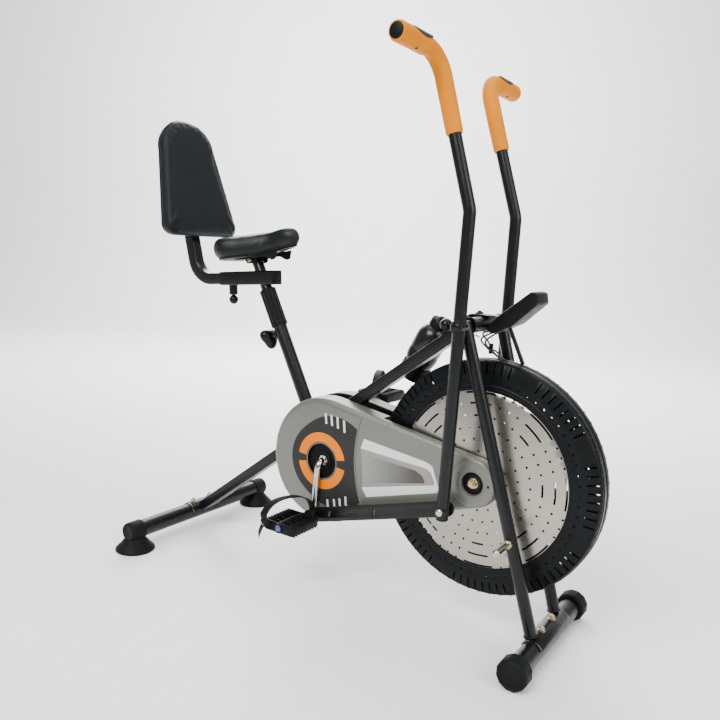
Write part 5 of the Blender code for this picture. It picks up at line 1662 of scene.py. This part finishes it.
def make_wires():
    """Sensor leads from the console to the fan cage, held by a clip on the bracket."""
    for y, sag in ((-0.012, 0.0), (-0.019, 0.012), (0.006, 0.020)):
        points = [
            console_point(0.020, -0.020, y), Vector((PIVOT.x + 0.004, y, 0.724 - sag)),
            Vector((PIVOT.x + 0.022, y - 0.004, 0.704 - sag)), Vector((PIVOT.x + 0.030, y * 0.8, 0.684)),
            FAN + Vector((0.020, y * 0.6, 0.2835)),
        ]
        wire = smooth(sweep("lead", curve_through(points, 12), circle(0.0022, 12)))
        show(wire, "wire_black", "frame")
    joiner = box("lead_joiner", Vector((PIVOT.x + 0.027, -0.013, 0.690)), (0.008, 0.010, 0.024), None, 0.0015)
    show(joiner, "moulded_black", "frame")
    clip_path = []
    for i in range(11):
        angle = pi * i / 10
        clip_x = PIVOT.x - 0.0235 + 0.024 * cos(angle)
        clip_path.append(Vector((clip_x, -0.024, PIVOT.z - 0.0315 + 0.006 * sin(angle))))
    show(smooth(sweep("clip", clip_path, circle(0.0019, 12))), "chrome", "frame")
    for y in (-0.0055, 0.0055):
        tie = beam_point(PIVOT.x - 0.120) + BEAM_ABOVE * 0.0155 + Y_AXIS * y
        show(ball("tie_head", tie, 0.0028), "wire_black", "frame")


def make_pivot_knob():
    foot = across(PIVOT, -0.070) + Vector((-0.0165, 0, 0))
    tip = foot + Vector((-0.047, 0, -0.005))
    neck = (tip - foot).normalized()
    stem = bar("stem", foot, tip, 0.0045, sides=28)
    barrel = bar("barrel", foot, foot + neck * 0.022, 0.0080, sides=32)
    head = ball("head", tip, 0.0150, neck)
    show(join("pull_knob", [stem, head]), "gloss_black", "frame", "pivot_knob")
    show(barrel, "chrome", "frame")


def make_bottle():
    foot, up = Vector((FRONT_FOOT.x - 0.4375, 0.062, 0.585)), direction("bottle_lift")
    body = [(0.0, 0.0), (0.0330, 0.0), (0.0352, 0.0022), (0.0358, 0.006), (0.0358, 0.037)]
    body += [(0.0385, 0.046), (0.0405, 0.056), (0.0408, 0.070), (0.0398, 0.0735), (0.0398, 0.0785)]
    body += [(0.0408, 0.0820), (0.0410, 0.108), (0.0400, 0.122), (0.0370, 0.133), (0.0320, 0.1415)]
    body += [(0.0250, 0.1470), (0.0235, 0.1490), (0.0, 0.1490)]
    show(lathe("bottle_body", body, foot, up, 64), "satin_paint", "bottle", "bottle")
    cap = [(0.0230, 0.1476), (0.0262, 0.1490), (0.0262, 0.1660), (0.0240, 0.1690), (0.0100, 0.1705)]
    cap += [(0.0095, 0.1750), (0.0085, 0.1775), (0.0, 0.1780)]
    ridged = lathe("bottle_cap", cap, foot, up, 72)
    show(ridged, "moulded_black", "bottle")
    ring = [(0.0363, 0.004), (0.0363, 0.034), (0.0372, 0.0348), (0.0385, 0.0340), (0.0385, -0.0020)]
    ring += [(0.0372, -0.0040), (0.0, -0.0040), (0.0, -0.0006), (0.0355, -0.0006)]
    cage = lathe("cage", ring, foot, up, 64)
    arm_end = beam_point(foot.x - 0.012) + Y_AXIS * 0.021
    arm = box("cage_arm", arm_end + Y_AXIS * 0.0015, (0.060, 0.003, 0.022), BEAM_AXES, 0.001)
    show(join("bottle_holder", [cage, arm]), "moulded_black", "frame", "bottle_cage")


# ---------------------------------------------------------------- CAD pieces shown as they are
def keep(node, material):
    """A hidden or nearly hidden CAD piece, given its finish and smooth shading."""
    obj = frame["nodes"][node]
    obj.data.materials.clear()
    obj.data.materials.append(MATERIALS[material][0])
    group = bpy.data.node_groups.get("smooth_cad") or make_smoothing()
    modifier = obj.modifiers.new("smooth", "NODES")
    modifier.node_group = group


def make_smoothing():
    group = bpy.data.node_groups.new("smooth_cad", "GeometryNodeTree")
    group.interface.new_socket("Geometry", in_out="INPUT", socket_type="NodeSocketGeometry")
    group.interface.new_socket("Geometry", in_out="OUTPUT", socket_type="NodeSocketGeometry")
    nodes, links = group.nodes, group.links
    entry, leave = nodes.new("NodeGroupInput"), nodes.new("NodeGroupOutput")
    merge = nodes.new("GeometryNodeMergeByDistance")
    merge.inputs["Distance"].default_value = 1e-6
    drop = nodes.new("GeometryNodeRemoveAttribute")
    drop.inputs["Name"].default_value = "custom_normal"
    angle = nodes.new("GeometryNodeInputMeshEdgeAngle")
    sharp = nodes.new("ShaderNodeMath")
    sharp.operation = "LESS_THAN"
    sharp.inputs[1].default_value = radians(35)
    edges = nodes.new("GeometryNodeSetShadeSmooth")
    edges.domain = "EDGE"
    links.new(entry.outputs[0], merge.inputs["Geometry"])
    links.new(merge.outputs["Geometry"], drop.inputs["Geometry"])
    links.new(drop.outputs["Geometry"], edges.inputs["Geometry"])
    links.new(angle.outputs["Unsigned Angle"], sharp.inputs[0])
    links.new(sharp.outputs[0], edges.inputs["Shade Smooth"])
    links.new(edges.outputs["Geometry"], leave.inputs[0])
    return group


def keep_hidden_pieces():
    for node in ("drive_hanger", "fan_stay_right", "fan_stay_left"):
        keep(node, "powder_coat")
    keep("fan_axle", "yellow_zinc")
    keep("chainwheel", "satin_paint")
    keep("chain", "chain_steel")
    keep("fan_wheel", "moulded_black")


def make_floor():
    """Pale floor that curves up into a wall well behind the bike."""
    profile = [(-9.0, 0.0), (5.0, 0.0)]
    profile += [(5.0 + 2.5 * sin(a), 2.5 - 2.5 * cos(a)) for a in [pi / 32 * i for i in range(1, 17)]]
    profile += [(7.5, 12.0)]
    form = bmesh.new()
    away, aside = Vector((-0.5628, 0.8266, 0)), Vector((0.8266, 0.5628, 0))
    rows = [
        [form.verts.new(away * reach + aside * width + Z_AXIS * height) for width in (-14, 14)]
        for reach, height in profile
    ]
    for (a, b), (c, d) in zip(rows, rows[1:]):
        form.faces.new((a, b, d, c))
    floor = smooth(to_object(form, "floor"), 60)
    floor.data.materials.append(MATERIALS["floor"][0])


# ---------------------------------------------------------------- everything
make_finishes()
make_metals()
make_print_panel()
make_soft_materials()
make_camera()
make_studio()
make_floor()
keep_hidden_pieces()
make_beam()
make_pivot_housing()
make_seat_tube()
make_feet()
make_seat_post()
make_sleeve()
make_height_knob()
make_carrier()
make_back_tube()
make_back_pad()
make_saddle()
make_crank()
make_console()
make_bracket()
make_wires()
make_pivot_knob()
make_bottle()
for side_name, side_sign in SIDES.items():
    make_leg(side_name, side_sign)
    make_fan_cover(side_name, side_sign)
    make_chain_case(side_name, side_sign)
    make_pedal(side_name, side_sign)
    make_link(side_name, side_sign)
    make_arm(side_name, side_sign)
